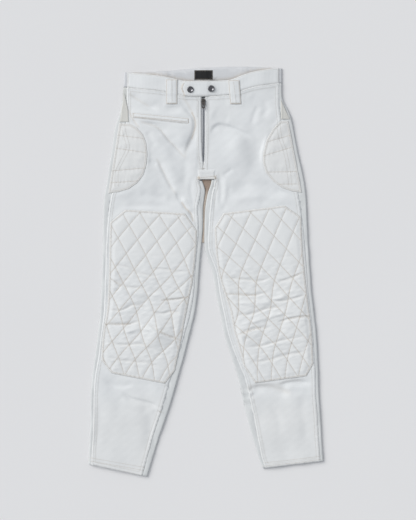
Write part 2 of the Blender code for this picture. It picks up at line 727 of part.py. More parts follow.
def knee_patch(leg):
    """Diamonds cut in a flat plate, which is then bent to the panel's borders."""
    name = leg.name
    rows = KNEE_ROWS[name]
    height = rows[0][1] - rows[-1][1]
    plate = flat_plate(0.0, -height, KNEE_WIDTH, 0.0)
    for offset, spacing, slant in KNEE_LINES[name]:
        for k in range(-24, 30):
            x = offset + spacing * k / 2
            cut(plate, x, 0.0, x + slant * height, -height)
    pillows = {}
    for vertex in plate.verts:
        across, down = vertex.co.x, -vertex.co.y
        puff = 1.0
        for offset, spacing, slant in KNEE_LINES[name]:
            puff *= abs(math.sin(math.pi * (across - offset - slant * down) / spacing))
        x0, y0, x1, y1 = knee_border(name, down / height)
        share = across / KNEE_WIDTH
        vertex.co.x = mix(x0, x1, share)
        vertex.co.y = mix(y0, y1, share)
        pillows[round(vertex.co.x, 3), round(vertex.co.y, 3)] = puff
    middle = (0.5 * (rows[3][0] + rows[3][2]), rows[3][1])
    for line in KNEE_CORNERS[name]:
        cut(plate, *line, middle)
    outline = knee_outline(name)

    def under(x, y):
        return leg.plain_top(x, y)[0] + GAP

    def over(x, y):
        puff = pillows.get((round(x, 3), round(y, 3)), 0.0)
        border = smooth(-outside(outline, x, y) / KNEE_EDGE)
        raised = QUILT_RISE * puff + fold_height(KNEE_FOLDS, x, y) + 1.2
        return under(x, y) + WALL + max(0.0, raised) * border

    return plate_solid("knee_patch_" + name, plate, under, over, white_drill())


def line_y(line, x):
    x0, y0, x1, y1 = line
    return y0 + (y1 - y0) * (x - x0) / (x1 - x0)


def hip_pad(leg):
    """Level channels: each is a soft round between two seams."""
    outline = HIP_OUTLINES[leg.name]
    seams = HIP_SEAMS[leg.name]
    xs = [p[0] for p in outline]
    plate = plate_in(outline, 24.0, 400.0)
    ys = [p[1] for p in outline]
    edges = [(min(xs), max(ys), max(xs), max(ys)), *seams, (min(xs), min(ys), max(xs), min(ys))]
    for line in seams:
        cut(plate, *line)
    for upper, lower in zip(edges, edges[1:]):
        for share in (0.2, 0.5, 0.8):
            ends = [mix(line_y(upper, x), line_y(lower, x), share) for x in (min(xs), max(xs))]
            cut(plate, min(xs), ends[0], max(xs), ends[1])

    def under(x, y):
        return leg.plain_top(x, y)[0] + GAP

    def over(x, y):
        puff = 0.0
        for upper, lower in zip(edges, edges[1:]):
            high, low = line_y(upper, x), line_y(lower, x)
            if low <= y <= high:
                share = (high - y) / max(high - low, 1e-6)
                puff = (4.0 * share * (1.0 - share)) ** 0.5
        return under(x, y) + WALL + PAD_RISE * puff * smooth(-outside(outline, x, y) / 12.0)

    return plate_solid("hip_pad_" + leg.name, plate, under, over, white_drill())


def side_rib(leg):
    outline = RIB_OUTLINES[leg.name]
    plate = plate_in(outline, RIB_PITCH / 2, 30.0)
    low_x = min(p[0] for p in outline)

    def under(x, y):
        return leg.plain_top(x, y)[0] + GAP

    def over(x, y):
        ridge = abs(math.sin(math.pi * (x - low_x) / RIB_PITCH))
        return under(x, y) + WALL + RIB_RISE * ridge

    return plate_solid("side_rib_" + leg.name, plate, under, over, ribbed_knit())


def laid_strip(name, outline, column_step, row_step, thickness, gap=GAP):
    """A flat strip that lies on the front panels."""

    def under(x, y):
        return leg_over(x).plain_top(x, y)[0] + gap

    def over(x, y):
        return under(x, y) + thickness

    return plate_solid(name, plate_in(outline, column_step, row_step), under, over, white_drill())


def belt_loop_front(leg):
    """Sewn at the waistband's top edge and again on the panel below it."""
    top_x, foot_x, foot_y = LOOP_PLACES[leg.name]
    over, under = [], []
    waist = read_table(FRONT_WAIST, top_x)
    seam = waist - BAND_HEIGHT
    for y in (waist - 3.0, waist - 14.0, waist - 26.0, seam, seam - 7.0, mix(seam, foot_y, 0.6), foot_y):
        middle_x = mix(top_x, foot_x, (waist - y) / (waist - foot_y))
        over_row, under_row = [], []
        for side in (-1.0, 0.0, 1.0):
            x = middle_x + side * LOOP_WIDTH / 2
            on_band = smooth((y - seam + 7.0) / 7.0)
            base = mix(leg.plain_top(x, y)[0], band_top(x, y), on_band) + 0.5
            base += 0.9 * (1.0 - abs(side))
            under_row.append((x, y, base))
            over_row.append((x, y, base + LOOP_WALL))
        over.append(over_row)
        under.append(under_row)
    return wall_solid("belt_loop_front_" + leg.name, over, under, white_drill())


def belt_loops_back():
    for k, at in enumerate(BACK_LOOP_X, 1):
        waist = read_table(BACK_WAIST, at)
        rows = [[(at + side * BACK_LOOP_WIDTH / 2, y) for side in (-1, 1)] for y in (waist - 2, waist - 36)]
        over = [[(x, y, BACK_LOOP_WALL) for x, y in row] for row in rows]
        under = [[(x, y, 0.0) for x, y in row] for row in rows]
        wall_solid(f"belt_loop_back_{k}", over, under, white_drill())


def label():
    x0, x1, y0, y1 = LABEL
    over, under = [], []
    for y in (y1, y0):
        row = [(x, y, back_band_lift(x) + BAND_WALL + GAP) for x in loop_steps(x0, x1)]
        under.append(row)
        over.append([(x, y, z + LABEL_WALL) for x, y, z in row])
    return wall_solid("label", over, under, black_cloth())


def inner_edge(leg):
    """The line of a leg's inner edge: y, x."""
    return sorted((leg.at(t)[3], leg.at(t)[2]) for t in stations(leg.crotch, leg.last))


def crotch_gusset():
    """The tan gusset between the legs. It lies on the floor, and fills the fork of the back seams."""
    rows = [(236.0, CENTRE_X - 1.5, CENTRE_X + 7.0), (229.2, CENTRE_X - 3.4, CENTRE_X + 18.5)]
    lines = [inner_edge(leg) for leg in LEGS.values()]
    for y in sorted({224.0, GUSSET_FOOT, *(y for line in lines for y, _ in line)}, reverse=True):
        if GUSSET_FOOT <= y <= 224.0:
            rows.append((y, *(read_table(line, y) for line in lines)))
    over = [[(x0, y, WALL), (x1, y, WALL)] for y, x0, x1 in rows]
    under = [[(x0, y, 0.0), (x1, y, 0.0)] for y, x0, x1 in rows]
    return wall_solid("crotch_gusset", over, under, gusset_cloth())


def zip_height(y):
    return LEGS["right"].plain_top(CENTRE_X - 1.0, y)[0]


def slot_half(y):
    """Half the width left open between the front panels at the fly."""
    halves = []
    for leg in LEGS.values():
        ends = [front_row(leg, t)[-1] for t in stations(1, leg.crotch - 1)]
        halves.append(read_table(sorted((at, abs(x - CENTRE_X)) for x, at in ends), y))
    return min(halves)


def zip_strip(name, half, high, low, top, thickness, surface, in_slot=False):
    rows = [mix(high, low, k / 9) for k in range(10)]
    halves = [min(half, slot_half(y) - 2 * GAP) if in_slot else half for y in rows]
    over = [[(CENTRE_X + s * h, y, zip_height(y) + top) for s in (-1, 1)] for y, h in zip(rows, halves)]
    under = [[(x, y, z - thickness) for x, y, z in row] for row in over]
    return wall_solid(name, over, under, surface)


def joined(base, others):
    """Unites other objects with a base, and removes them."""
    for other in others:
        union = base.modifiers.new("join", "BOOLEAN")
        union.operation = "UNION"
        union.object = other
        graph = bpy.context.evaluated_depsgraph_get()
        mesh = bpy.data.meshes.new_from_object(base.evaluated_get(graph))
        base.modifiers.clear()
        base.data = mesh
        bpy.data.objects.remove(other)
    return base


def mesh_object(name, shape, surface):
    """An object from a bmesh in millimetres, moved to the part's frame."""
    middle_x, middle_y = middle_of_outline()
    for vertex in shape.verts:
        vertex.co = Vector((vertex.co.x - middle_x, vertex.co.y - middle_y, vertex.co.z)) * MM
    mesh = bpy.data.meshes.new(name)
    bmesh.ops.recalc_face_normals(shape, faces=shape.faces)
    shape.to_mesh(mesh)
    shape.free()
    mesh.materials.append(surface)
    made = bpy.data.objects.new(name, mesh)
    bpy.data.collections["motocross_pants"].objects.link(made)
    return made


def hinge_height():
    return zip_height(SLIDER_Y) + 0.6 + SLIDER_WALL + HINGE_LIFT


def zip_slider():
    """A tapered body with an arch, under which the pull's bar turns."""
    base = zip_height(SLIDER_Y) + 0.6
    body = bmesh.new()
    half = SLIDER_LENGTH / 2
    outline = ((-3.2, half), (3.2, half), (4.8, half - 3.0), (4.8, 0.0), (3.0, -half), (-3.0, -half),
               (-4.8, 0.0), (-4.8, half - 3.0))
    face = body.faces.new([body.verts.new((CENTRE_X + x, SLIDER_Y + y, base)) for x, y in outline])
    raised = bmesh.ops.extrude_face_region(body, geom=[face])["geom"]
    tops = [g for g in raised if isinstance(g, bmesh.types.BMVert)]
    bmesh.ops.translate(body, verts=tops, vec=(0.0, 0.0, SLIDER_WALL))
    for vertex in tops:
        vertex.co.x = mix(CENTRE_X, vertex.co.x, 0.86)
        vertex.co.y = mix(SLIDER_Y, vertex.co.y, 0.9)
    slider = mesh_object("zip_slider", body, dark_metal())
    z = hinge_height()
    arch = bmesh.new()
    profile = ((-2.6, -HINGE_LIFT - 0.5), (-1.5, -HINGE_LIFT - 0.5), (-1.5, 1.1), (1.5, 1.1),
               (1.5, -HINGE_LIFT - 0.5), (2.6, -HINGE_LIFT - 0.5), (2.6, 1.4), (2.0, 2.0), (-2.0, 2.0), (-2.6, 1.4))
    face = arch.faces.new([arch.verts.new((CENTRE_X - 1.3, HINGE_Y + y, z + h)) for y, h in profile])
    raised = bmesh.ops.extrude_face_region(arch, geom=[face])["geom"]
    bmesh.ops.translate(arch, verts=[g for g in raised if isinstance(g, bmesh.types.BMVert)], vec=(2.6, 0, 0))
    return joined(slider, [mesh_object("arch", arch, dark_metal())])


def zip_pull():
    """The pull tab: a bar under the arch, two arms, and a plate with a slot. Its origin is the hinge."""
    outline = bpy.data.curves.new("zip_pull", "CURVE")
    outline.dimensions = "2D"
    outline.fill_mode = "BOTH"
    outline.extrude = PULL_WALL / 2 * MM
    end = -PULL_LENGTH
    shapes = (
        ((-3.3, 0.7), (3.3, 0.7), (3.3, -4.0), (4.0, -6.0), (4.0, end + 3.0), (3.0, end + 0.8), (1.4, end),
         (-1.4, end), (-3.0, end + 0.8), (-4.0, end + 3.0), (-4.0, -6.0), (-3.3, -4.0)),
        ((-1.9, -0.7), (1.9, -0.7), (1.9, -4.3), (-1.9, -4.3)),
        ((-1.8, end + 8.5), (-1.0, end + 9.4), (1.0, end + 9.4), (1.8, end + 8.5), (1.8, end + 4.5),
         (1.0, end + 3.6), (-1.0, end + 3.6), (-1.8, end + 4.5)),
    )
    for shape in shapes:
        spline = outline.splines.new("POLY")
        spline.points.add(len(shape) - 1)
        for point, (x, y) in zip(spline.points, shape):
            point.co = (x * MM, y * MM, 0.0, 1.0)
        spline.use_cyclic_u = True
    drawn = bpy.data.objects.new("pull_outline", outline)
    bpy.data.collections["motocross_pants"].objects.link(drawn)
    graph = bpy.context.evaluated_depsgraph_get()
    mesh = bpy.data.meshes.new_from_object(drawn.evaluated_get(graph))
    bpy.data.objects.remove(drawn)
    welded = bmesh.new()
    welded.from_mesh(mesh)
    bmesh.ops.remove_doubles(welded, verts=welded.verts, dist=1e-6)
    bmesh.ops.recalc_face_normals(welded, faces=welded.faces)
    welded.to_mesh(mesh)
    welded.free()
    mesh.materials.clear()
    mesh.materials.append(dark_metal())
    pull = bpy.data.objects.new("zip_pull", mesh)
    middle_x, middle_y = middle_of_outline()
    pull.location = ((CENTRE_X - middle_x) * MM, (HINGE_Y - middle_y) * MM, hinge_height() * MM)
    bpy.data.collections["motocross_pants"].objects.link(pull)
    return pull


def snap(name, x, y):
    """A domed metal cap, turned from its profile."""
    middle_x, middle_y = middle_of_outline()
    r = SNAP_RADIUS
    profile = ((0.0, SNAP_RISE), (r * 0.45, SNAP_RISE * 0.92), (r * 0.75, SNAP_RISE * 0.68), (r * 0.9, 0.9),
               (r, 0.7), (r, 0.0), (0.0, 0.0))
    mesh = bpy.data.meshes.new(name)
    edges = [(k, k + 1) for k in range(len(profile) - 1)]
    mesh.from_pydata([(px * MM, 0.0, pz * MM) for px, pz in profile], edges, [])
    mesh.materials.append(bright_metal())
    made = bpy.data.objects.new(name, mesh)
    seat = band_top(x, y) + tab_lift(x)
    around = [band_top(x + r * i, y + r * j) + tab_lift(x + r * i) for i in (-1, 0, 1) for j in (-1, 0, 1)]
    made.location = ((x - middle_x) * MM, (y - middle_y) * MM, (max(around + [seat]) + GAP) * MM)
    turn = made.modifiers.new("turn", "SCREW")
    turn.steps = 20
    turn.render_steps = 20
    turn.use_merge_vertices = True
    turn.merge_threshold = 1e-5
    bpy.data.collections["motocross_pants"].objects.link(made)
    return made


def clear_scene():
    for old in list(bpy.data.objects):
        bpy.data.objects.remove(old, do_unlink=True)
    group = bpy.data.collections.new("motocross_pants")
    bpy.context.scene.collection.children.link(group)


def build():
    clear_scene()
    for leg in LEGS.values():
        back_panel(leg)
        front_panel(leg)
        knee_patch(leg)
        hip_pad(leg)
        side_rib(leg)
        belt_loop_front(leg)
    waistband_back()
    waistband_front()
    belt_loops_back()
    label()
    laid_strip("welt_pocket", WELT_OUTLINE, 18.0, 40.0, WALL)
    laid_strip("crotch_bridge", BRIDGE_OUTLINE, 8.0, 12.0, 1.6, 0.5)
    crotch_gusset()
    zip_strip("zip_tape", TAPE_HALF, ZIP_TOP, ZIP_FOOT, -WALL - 0.5, TAPE_WALL, black_cloth())
    zip_strip("zip_chain", CHAIN_HALF, ZIP_TOP, ZIP_FOOT + 6.0, 0.2, WALL + 0.3, dark_metal(), True)
    zip_slider()
    zip_pull()
    for k, place in enumerate(SNAP_PLACES, 1):
        snap(f"snap_{k}", *place)


build()
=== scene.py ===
# %% [markdown]
# # White motocross pants, laid flat
#
# The pants lie on their back with the front up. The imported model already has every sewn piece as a
# plain solid in its real place. This lesson dresses those solids: each piece is cut again as a fine
# sheet of cloth, laid on its solid's own face, and given its folds, quilting, sewing and weave.
# Every position is in millimetres: X to the wearer's left, Y towards the waist, Z up from the floor.

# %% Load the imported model
import math
from functools import partial

import bmesh
import bpy
import numpy as np
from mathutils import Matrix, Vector, geometry
from mathutils.bvhtree import BVHTree
from mathutils.kdtree import KDTree


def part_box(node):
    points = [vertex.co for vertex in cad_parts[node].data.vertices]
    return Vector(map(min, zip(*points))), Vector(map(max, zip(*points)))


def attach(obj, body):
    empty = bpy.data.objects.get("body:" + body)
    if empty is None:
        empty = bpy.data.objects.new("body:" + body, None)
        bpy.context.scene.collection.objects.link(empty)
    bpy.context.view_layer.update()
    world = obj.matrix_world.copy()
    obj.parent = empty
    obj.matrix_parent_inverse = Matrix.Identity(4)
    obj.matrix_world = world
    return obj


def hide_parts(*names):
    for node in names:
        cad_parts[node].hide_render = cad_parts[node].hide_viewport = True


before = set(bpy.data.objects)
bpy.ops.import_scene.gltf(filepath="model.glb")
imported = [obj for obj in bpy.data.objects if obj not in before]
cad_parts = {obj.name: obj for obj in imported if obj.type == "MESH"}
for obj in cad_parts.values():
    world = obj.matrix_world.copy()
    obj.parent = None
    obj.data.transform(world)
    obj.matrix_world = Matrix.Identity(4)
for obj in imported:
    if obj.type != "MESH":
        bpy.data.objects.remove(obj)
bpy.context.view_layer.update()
MM = 0.001
BODY = "pants"
SIDES = ("right", "left")

# %% [markdown]
# ## Reading a solid
#
# A solid's upper face says where its cloth lies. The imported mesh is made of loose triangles, so its
# points are first merged. The triangles that face up then give the outline that the piece was cut to,
# and a surface that a ray can hit. Subdividing a copy would be shorter, but the solids are coarse,
# and long thin triangles make creases where none belong.


# %% Points and triangles of a solid
def points_and_triangles(mesh):
    """A mesh's points in millimetres, and its triangles."""
    mesh.calc_loop_triangles()
    points = np.empty(len(mesh.vertices) * 3)
    mesh.vertices.foreach_get("co", points)
    triangles = np.empty(len(mesh.loop_triangles) * 3, np.int32)
    mesh.loop_triangles.foreach_get("vertices", triangles)
    return points.reshape(-1, 3) / MM, triangles.reshape(-1, 3)


def solid_mesh(node):
    """A solid's points, merged, and its triangles."""
    points, triangles = points_and_triangles(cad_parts[node].data)
    points, place = np.unique(np.round(points, 3), axis=0, return_inverse=True)
    return points, place.reshape(-1)[triangles]


def face_up(points, triangles):
    """The triangles that face up."""
    a, b, c = (points[triangles[:, k]] for k in range(3))
    normals = np.cross(b - a, c - a)
    steep = normals[:, 2] / np.maximum(np.linalg.norm(normals, axis=1), 1e-9)
    return triangles[steep > 0.35]


# %% The outline of a solid's upper face
def border_edges(triangles):
    """The edges that only one triangle has."""
    once = set()
    for a, b, c in triangles:
        for edge in ((a, b), (b, c), (c, a)):
            if edge[::-1] in once:
                once.remove(edge[::-1])
            else:
                once.add(edge)
    return once


def outline_of(node):
    """The longest loop round the triangles that face up, anticlockwise, in x and y."""
    points, triangles = solid_mesh(node)
    after = dict(border_edges(face_up(points, triangles)))
    loops = []
    while after:
        start, at = after.popitem()
        loop = [start]
        while at != start and at in after:
            loop.append(at)
            at = after.pop(at)
        loops.append(loop)
    return points[max(loops, key=len)][:, :2]


def resample(path, step):
    """Points along a path, about a step apart, ends included."""
    path = np.asarray(path, float)
    along = np.concatenate(([0], np.cumsum(np.linalg.norm(np.diff(path, axis=0), axis=1))))
    at = np.linspace(0, along[-1], max(2, round(along[-1] / step) + 1))
    return np.column_stack([np.interp(at, along, path[:, k]) for k in range(path.shape[1])])


# %% [markdown]
# A real cut edge runs in smooth curves between its corners. The outline of a solid is a polygon, so
# it is divided at its sharp corners, and each run between two corners gets a smooth curve.


# %% Smooth an outline between its corners
CORNER = math.radians(32)


def curve(path, parts=6):
    """A smooth curve through a path's points."""
    ends = np.vstack((2 * path[0] - path[1], path, 2 * path[-1] - path[-2]))
    t = np.linspace(0, 1, parts, endpoint=False)[:, None]
    runs = []
    for p0, p1, p2, p3 in zip(ends, ends[1:], ends[2:], ends[3:]):
        bend = (2 * p0 - 5 * p1 + 4 * p2 - p3) * t**2 + (3 * p1 - p0 - 3 * p2 + p3) * t**3
        runs.append(0.5 * (2 * p1 + (p2 - p0) * t + bend))
    return np.vstack((*runs, path[-1:]))


def smooth_outline(outline, step):
    far = np.linalg.norm(outline - np.roll(outline, 1, axis=0), axis=1) > 0.05
    outline = outline[far]
    before = outline - np.roll(outline, 1, axis=0)
    after = np.roll(outline, -1, axis=0) - outline
    cross = before[:, 0] * after[:, 1] - before[:, 1] * after[:, 0]
    turn = np.abs(np.arctan2(cross, (before * after).sum(axis=1)))
    corners = np.flatnonzero(turn > CORNER)
    outline = np.roll(outline, -corners[0], axis=0)
    corners = np.append(corners - corners[0], len(outline))
    outline = np.vstack((outline, outline[:1]))
    runs = [resample(curve(outline[a:b + 1]), step)[:-1] for a, b in zip(corners, corners[1:])]
    return np.vstack(runs)


# %% [markdown]
# ## Distances
#
# Seams, folds and puckers all follow a line. One helper says for many points at once how far away
# the line is, on which side, and how far along it. NumPy does a whole piece in one go.


# %% Distance to a line, side of it, and place along it
def beside(x, y, path):
    """Distance, side (1 to the left of the path) and place along it in millimetres."""
    path = np.asarray(path, float)
    distance = np.full(x.shape, 1e9)
    side = np.zeros(x.shape)
    place = np.zeros(x.shape)
    run = 0
    for (ax, ay), (bx, by) in zip(path, path[1:]):
        dx, dy = bx - ax, by - ay
        length = math.hypot(dx, dy)
        t = np.clip(((x - ax) * dx + (y - ay) * dy) / length**2, 0, 1)
        off_x, off_y = x - ax - t * dx, y - ay - t * dy
        far = np.hypot(off_x, off_y)
        near = far < distance
        distance = np.where(near, far, distance)
        side = np.where(near, np.sign(dx * off_y - dy * off_x), side)
        place = np.where(near, run + t * length, place)
        run += length
    return distance, side, place


def inside(x, y, outline):
    """True for points inside a closed outline."""
    found = np.zeros(x.shape, bool)
    for (ax, ay), (bx, by) in zip(outline, np.roll(outline, -1, axis=0)):
        if ay != by:
            found ^= ((ay > y) != (by > y)) & (x < ax + (bx - ax) * (y - ay) / (by - ay))
    return found


def closed(outline):
    return np.vstack((outline, outline[:1]))


def unit(value):
    return np.clip(value, 0, 1)


def smoothstep(value):
    t = unit(value)
    return t * t * (3 - 2 * t)


def bell(distance, width):
    """1 where the distance is 0, falling softly to 0."""
    return np.exp(-((distance / width) ** 2))


def along_line(x, y, path, width):
    return bell(beside(x, y, path)[0], width)


def near_box(x, y, path, reach):
    """Which points are in a path's box, widened by reach."""
    low, high = path.min(axis=0) - reach, path.max(axis=0) + reach
    return np.flatnonzero((x > low[0]) & (x < high[0]) & (y > low[1]) & (y < high[1]))


# %% [markdown]
# ## Soft unevenness
#
# No cloth lies quite flat. A few long waves in random directions add up to a gentle swell that looks
# like nothing in particular. Blender's noise would also do, but this reads many points at once.


# %% A gentle swell from a few waves
def swell(x, y, wave, seed):
    """Between about -1 and 1, with waves of roughly the given length."""
    draw = np.random.default_rng(seed)
    total = np.zeros(x.shape)
    for _ in range(9):
        turn = draw.uniform(0, math.tau)
        length = wave * draw.uniform(0.6, 1.7)
        phase = draw.uniform(0, math.tau)
        total += np.sin((x * math.cos(turn) + y * math.sin(turn)) * math.tau / length + phase)
    return total / 4


def puckers(x, y, seam, height, reach, wave, seed):
    """Small ripples across a seam, where the thread has drawn the cloth in."""
    distance, _, place = beside(x, y, seam)
    uneven = 0.6 + 0.4 * swell(x, y, 45, seed)
    bent = place + 2.5 * swell(x, y, 30, seed + 1)
    return height * uneven * np.sin(bent * math.tau / wave) * bell(distance, reach)


# %% [markdown]
# ## Cutting a sheet of cloth
#
# A piece of cloth starts as a flat plate inside its outline. A triangle mesh with points set in even
# staggered rows bends softly in every direction. Blender's constrained Delaunay triangulation joins
# those points and keeps every edge of the outline.


# %% Cut a plate
# rows of even triangles are this many steps apart, and none starts too near the outline
ROW_STEP = 0.866
CLEAR_OF_EDGE = 0.55


def cut_plate(outline, step):
    """Points and triangles of a flat plate, and how many of its points are on the outline."""
    low, high = outline.min(axis=0), outline.max(axis=0)
    ys = np.arange(low[1], high[1], step * ROW_STEP)
    xs = np.arange(low[0], high[0], step)
    x, y = np.meshgrid(xs, ys)
    x = x + (np.arange(len(ys)) % 2)[:, None] * step / 2
    x, y = x.ravel(), y.ravel()
    keep = inside(x, y, outline)
    x, y = x[keep], y[keep]
    keep = beside(x, y, closed(outline))[0] > step * CLEAR_OF_EDGE
    points = np.vstack((outline, np.column_stack((x[keep], y[keep]))))
    ring = [list(range(len(outline)))]
    made = geometry.delaunay_2d_cdt([Vector(p) for p in points], [], ring, 1, 1e-4)
    flat = np.array([tuple(v) for v in made[0]])
    return flat, np.array(made[2], np.int32)


# %% Height of a solid under each point
# where a ray starts, in mm, and how far a point on the rim may be drawn in to meet the solid
ABOVE, BELOW = 90, -50
DRAW_IN = (0, 0.002, 0.01, 0.04)


def solid_heights(node, x, y, from_below=False):
    """The height where a ray from above, or from below, meets the solid."""
    points, triangles = solid_mesh(node)
    tree = BVHTree.FromPolygons(points.tolist(), triangles.tolist())
    middle = points[:, :2].mean(axis=0)
    start, way = (BELOW, 1) if from_below else (ABOVE, -1)
    heights = np.full(len(x), np.nan)
    for k, (px, py) in enumerate(zip(x, y)):
        for draw_in in DRAW_IN:
            at = (px + (middle[0] - px) * draw_in, py + (middle[1] - py) * draw_in, start)
            hit = tree.ray_cast(at, (0, 0, way))[0]
            if hit is not None:
                heights[k] = hit.z
                break
    return heights


# %% Even out heights along a mesh
def even_out(values, triangles, times):
    """Each point drifts to the mean of its neighbours; a missing value takes its neighbours' own."""
    pairs = np.vstack((triangles[:, (0, 1)], triangles[:, (1, 2)], triangles[:, (2, 0)]))
    a, b = np.vstack((pairs, pairs[:, ::-1])).T
    values = values.copy()
    for k in range(times + 40):
        known = np.isfinite(values)
        if k >= times and known.all():
            break
        use = known[b]
        total = np.bincount(a[use], values[b[use]], len(values))
        count = np.bincount(a[use], minlength=len(values))
        mean = total / np.maximum(count, 1)
        fill = ~known & (count > 0)
        if k < times:
            values[known] = 0.5 * values[known] + 0.5 * np.where(count > 0, mean, values)[known]
        values[fill] = mean[fill]
    return values


# %% [markdown]
# ## Making the piece
#
# A sheet's lower face copies its upper one, a wall's thickness below, and a rim joins the two. Near
# the edge the upper face dips, because a turned edge is round. The solids stand 0.3 mm apart at each
# seam; sewing closes that gap, so each outline first grows a little. The piece then takes its solid's
# place and rides on the pants' body; a padded piece prints the area it was cut to.


# %% Build a shell from its upper face
SHELL = {}
EDGE_ROUND = 2.4
EDGE_DIP = 0.35
SEAM_CLOSE = 0.4
# the back's cloth lies below everything else
UNDER_CLOTH = 1.2


def to_scene(name, data):
    made = bpy.data.objects.new(name, data)
    bpy.context.scene.collection.objects.link(made)
    return made


def new_object(name, points, faces, surface, marks=None):
    """A mesh object from points in millimetres; marks is a value per point, for the material."""
    mesh = bpy.data.meshes.new(name)
    mesh.from_pydata((np.asarray(points) * MM).tolist(), [], faces)
    mesh.materials.append(surface)
    mesh.shade_smooth()
    if marks is not None:
        mesh.attributes.new("seam", "FLOAT", "POINT").data.foreach_set("value", marks)
    return to_scene(name, mesh)


def shell(name, flat, triangles, upper, wall, outline, surface, marks, edge_dip):
    """A closed sheet of cloth."""
    x, y = flat.T
    edge = beside(x, y, closed(outline))[0]
    dip = np.clip(1 - edge / EDGE_ROUND, 0, 1)
    round_off = edge_dip * (1 - np.sqrt(1 - 0.98 * dip**2))
    upper = upper - round_off
    count = len(flat)
    points = np.vstack((np.column_stack((flat, upper)), np.column_stack((flat, upper - wall))))
    points[count:, 2] += round_off
    rim = [(b, a, a + count, b + count) for a, b in sorted(border_edges(triangles))]
    faces = triangles.tolist() + (triangles[:, ::-1] + count).tolist() + rim
    SHELL[name] = (np.column_stack((flat, upper)), triangles)
    return new_object(name, points, faces, surface, np.concatenate((marks, marks)))


def plate_area(flat, triangles):
    """In square metres."""
    a, b, c = (flat[triangles[:, k]] for k in range(3))
    twice = (b - a)[:, 0] * (c - a)[:, 1] - (b - a)[:, 1] * (c - a)[:, 0]
    return float(np.abs(twice).sum() / 2 * MM**2)


# %% One call for each laid piece
def outward_of(outline):
    """The outward direction at each point of an outline."""
    along = np.roll(outline, -1, axis=0) - np.roll(outline, 1, axis=0)
    along /= np.maximum(np.linalg.norm(along, axis=1), 1e-9)[:, None]
    return np.column_stack((along[:, 1], -along[:, 0]))


def lay_piece(
    name, node, surface, step, wall, relief, even=10, fill=None,
    edge_dip=EDGE_DIP, lap=None,
):
    """The relief gives heights and tint marks: seam tan, and painted shade. fill makes it a padded piece and
    not a sheet.
    """
    outline = smooth_outline(outline_of(node), step)
    outward = outward_of(outline)
    more = 0 if lap is None else lap(outline, outward)[:, None]
    outline = outline + (SEAM_CLOSE + more) * outward
    flat, triangles = cut_plate(outline, step)
    x, y = flat.T
    padded = fill is not None
    base = solid_heights(node, x, y, from_below=padded)
    base = even_out(base, triangles, even) + (wall if padded else 0)
    edge = beside(x, y, closed(outline))[0]
    heights, marks = relief(x, y, edge)
    upper = np.maximum(base + heights, wall + UNDER_CLOTH)
    piece = shell(name, flat, triangles, upper, wall, outline, surface, marks, edge_dip)
    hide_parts(node)
    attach(piece, BODY)
    if padded:
        print(piece.name, "padded, area", round(plate_area(flat, triangles), 4), "m2")
    return outline


# %% [markdown]
# ## Cloth materials
#
# Drill is a twill: fine ridges run slantwise across the cloth. All the cloth here has them, finer or
# coarser, so they are a shader group with a pitch and a slant. It puts out a height for Bump and a
# mask for colour. On Object coordinates, in metres, the weave has its real size and never stretches.


# %% A small kit for node trees
def feed(tree, node, values):
    """Fills inputs by name or number; a value is a number, a colour or a socket."""
    for key, value in values.items():
        socket = node.inputs[key]
        if isinstance(value, bpy.types.NodeSocket):
            tree.links.new(value, socket)
        else:
            socket.default_value = (*value, 1) if socket.type == "RGBA" else value
    return node


def add(tree, kind, values=None, **settings):
    """A new node with its settings and inputs."""
    node = tree.nodes.new(kind)
    for key, value in settings.items():
        setattr(node, key, value)
    return feed(tree, node, values or {})


def new_tree(name, inputs, outputs, kind="ShaderNodeTree"):
    """A node tree, what it is given, and its output node."""
    tree = bpy.data.node_groups.new(name, kind)
    for way, sockets in (("INPUT", inputs), ("OUTPUT", outputs)):
        for title, socket in sockets.items():
            tree.interface.new_socket(name=title, in_out=way, socket_type="NodeSocket" + socket)
    return tree, add(tree, "NodeGroupInput").outputs, add(tree, "NodeGroupOutput")


def calculate(tree, operation, *values):
    """A Math node; each value is a number or a socket."""
    return add(tree, "ShaderNodeMath", dict(enumerate(values)), operation=operation).outputs[0]


def noise(tree, vector, scale, detail=2, roughness=0.55):
    values = {"Vector": vector, "Scale": scale, "Detail": detail, "Roughness": roughness}
    return add(tree, "ShaderNodeTexNoise", values).outputs["Fac"]


def mix_of(tree, share, first, second):
    """A Mix node between two colours, which are its inputs 6 and 7."""
    return add(tree, "ShaderNodeMix", {0: share, 6: first, 7: second}, data_type="RGBA").outputs[2]


def bumped(tree, height, distance, strength=1):
    values = {"Height": height, "Distance": distance, "Strength": strength}
    return add(tree, "ShaderNodeBump", values).outputs[0]


def new_material(name):
    """A material, its tree, its shader, and its Object coordinates."""
    surface = bpy.data.materials.new(name)
    surface.use_nodes = True
    tree = surface.node_tree
    place = add(tree, "ShaderNodeTexCoord").outputs["Object"]
    return surface, tree, tree.nodes["Principled BSDF"], place


# %% The twill group
def twill_group():
    inputs = {"Place": "Vector", "Pitch": "Float", "Slant": "Float"}
    group, given, made = new_tree("twill", inputs, {"Height": "Float", "Shade": "Float"})

    def do(operation, *values):
        return calculate(group, operation, *values)

    place, pitch = given["Place"], given["Pitch"]
    x, y, z = add(group, "ShaderNodeSeparateXYZ", {0: place}).outputs
    across = do("ADD", x, do("MULTIPLY", z, 0.8))
    across = do("ADD", across, do("MULTIPLY", noise(group, place, 160), 0.0012))
    slanted = do("ADD", across, do("MULTIPLY", y, given["Slant"]))
    ridge = do("SINE", do("MULTIPLY", do("DIVIDE", slanted, pitch), math.tau))
    yarn = do("SINE", do("MULTIPLY", do("DIVIDE", y, pitch), math.tau * 1.4))
    height = do("MULTIPLY_ADD", yarn, 0.12, do("MULTIPLY_ADD", ridge, 0.35, 0.5))
    height = do("MULTIPLY_ADD", noise(group, place, 2600), 0.3, height)
    feed(group, made, {"Height": height, "Shade": do("MULTIPLY_ADD", ridge, 0.5, 0.5)})
    return group


TWILL = twill_group()
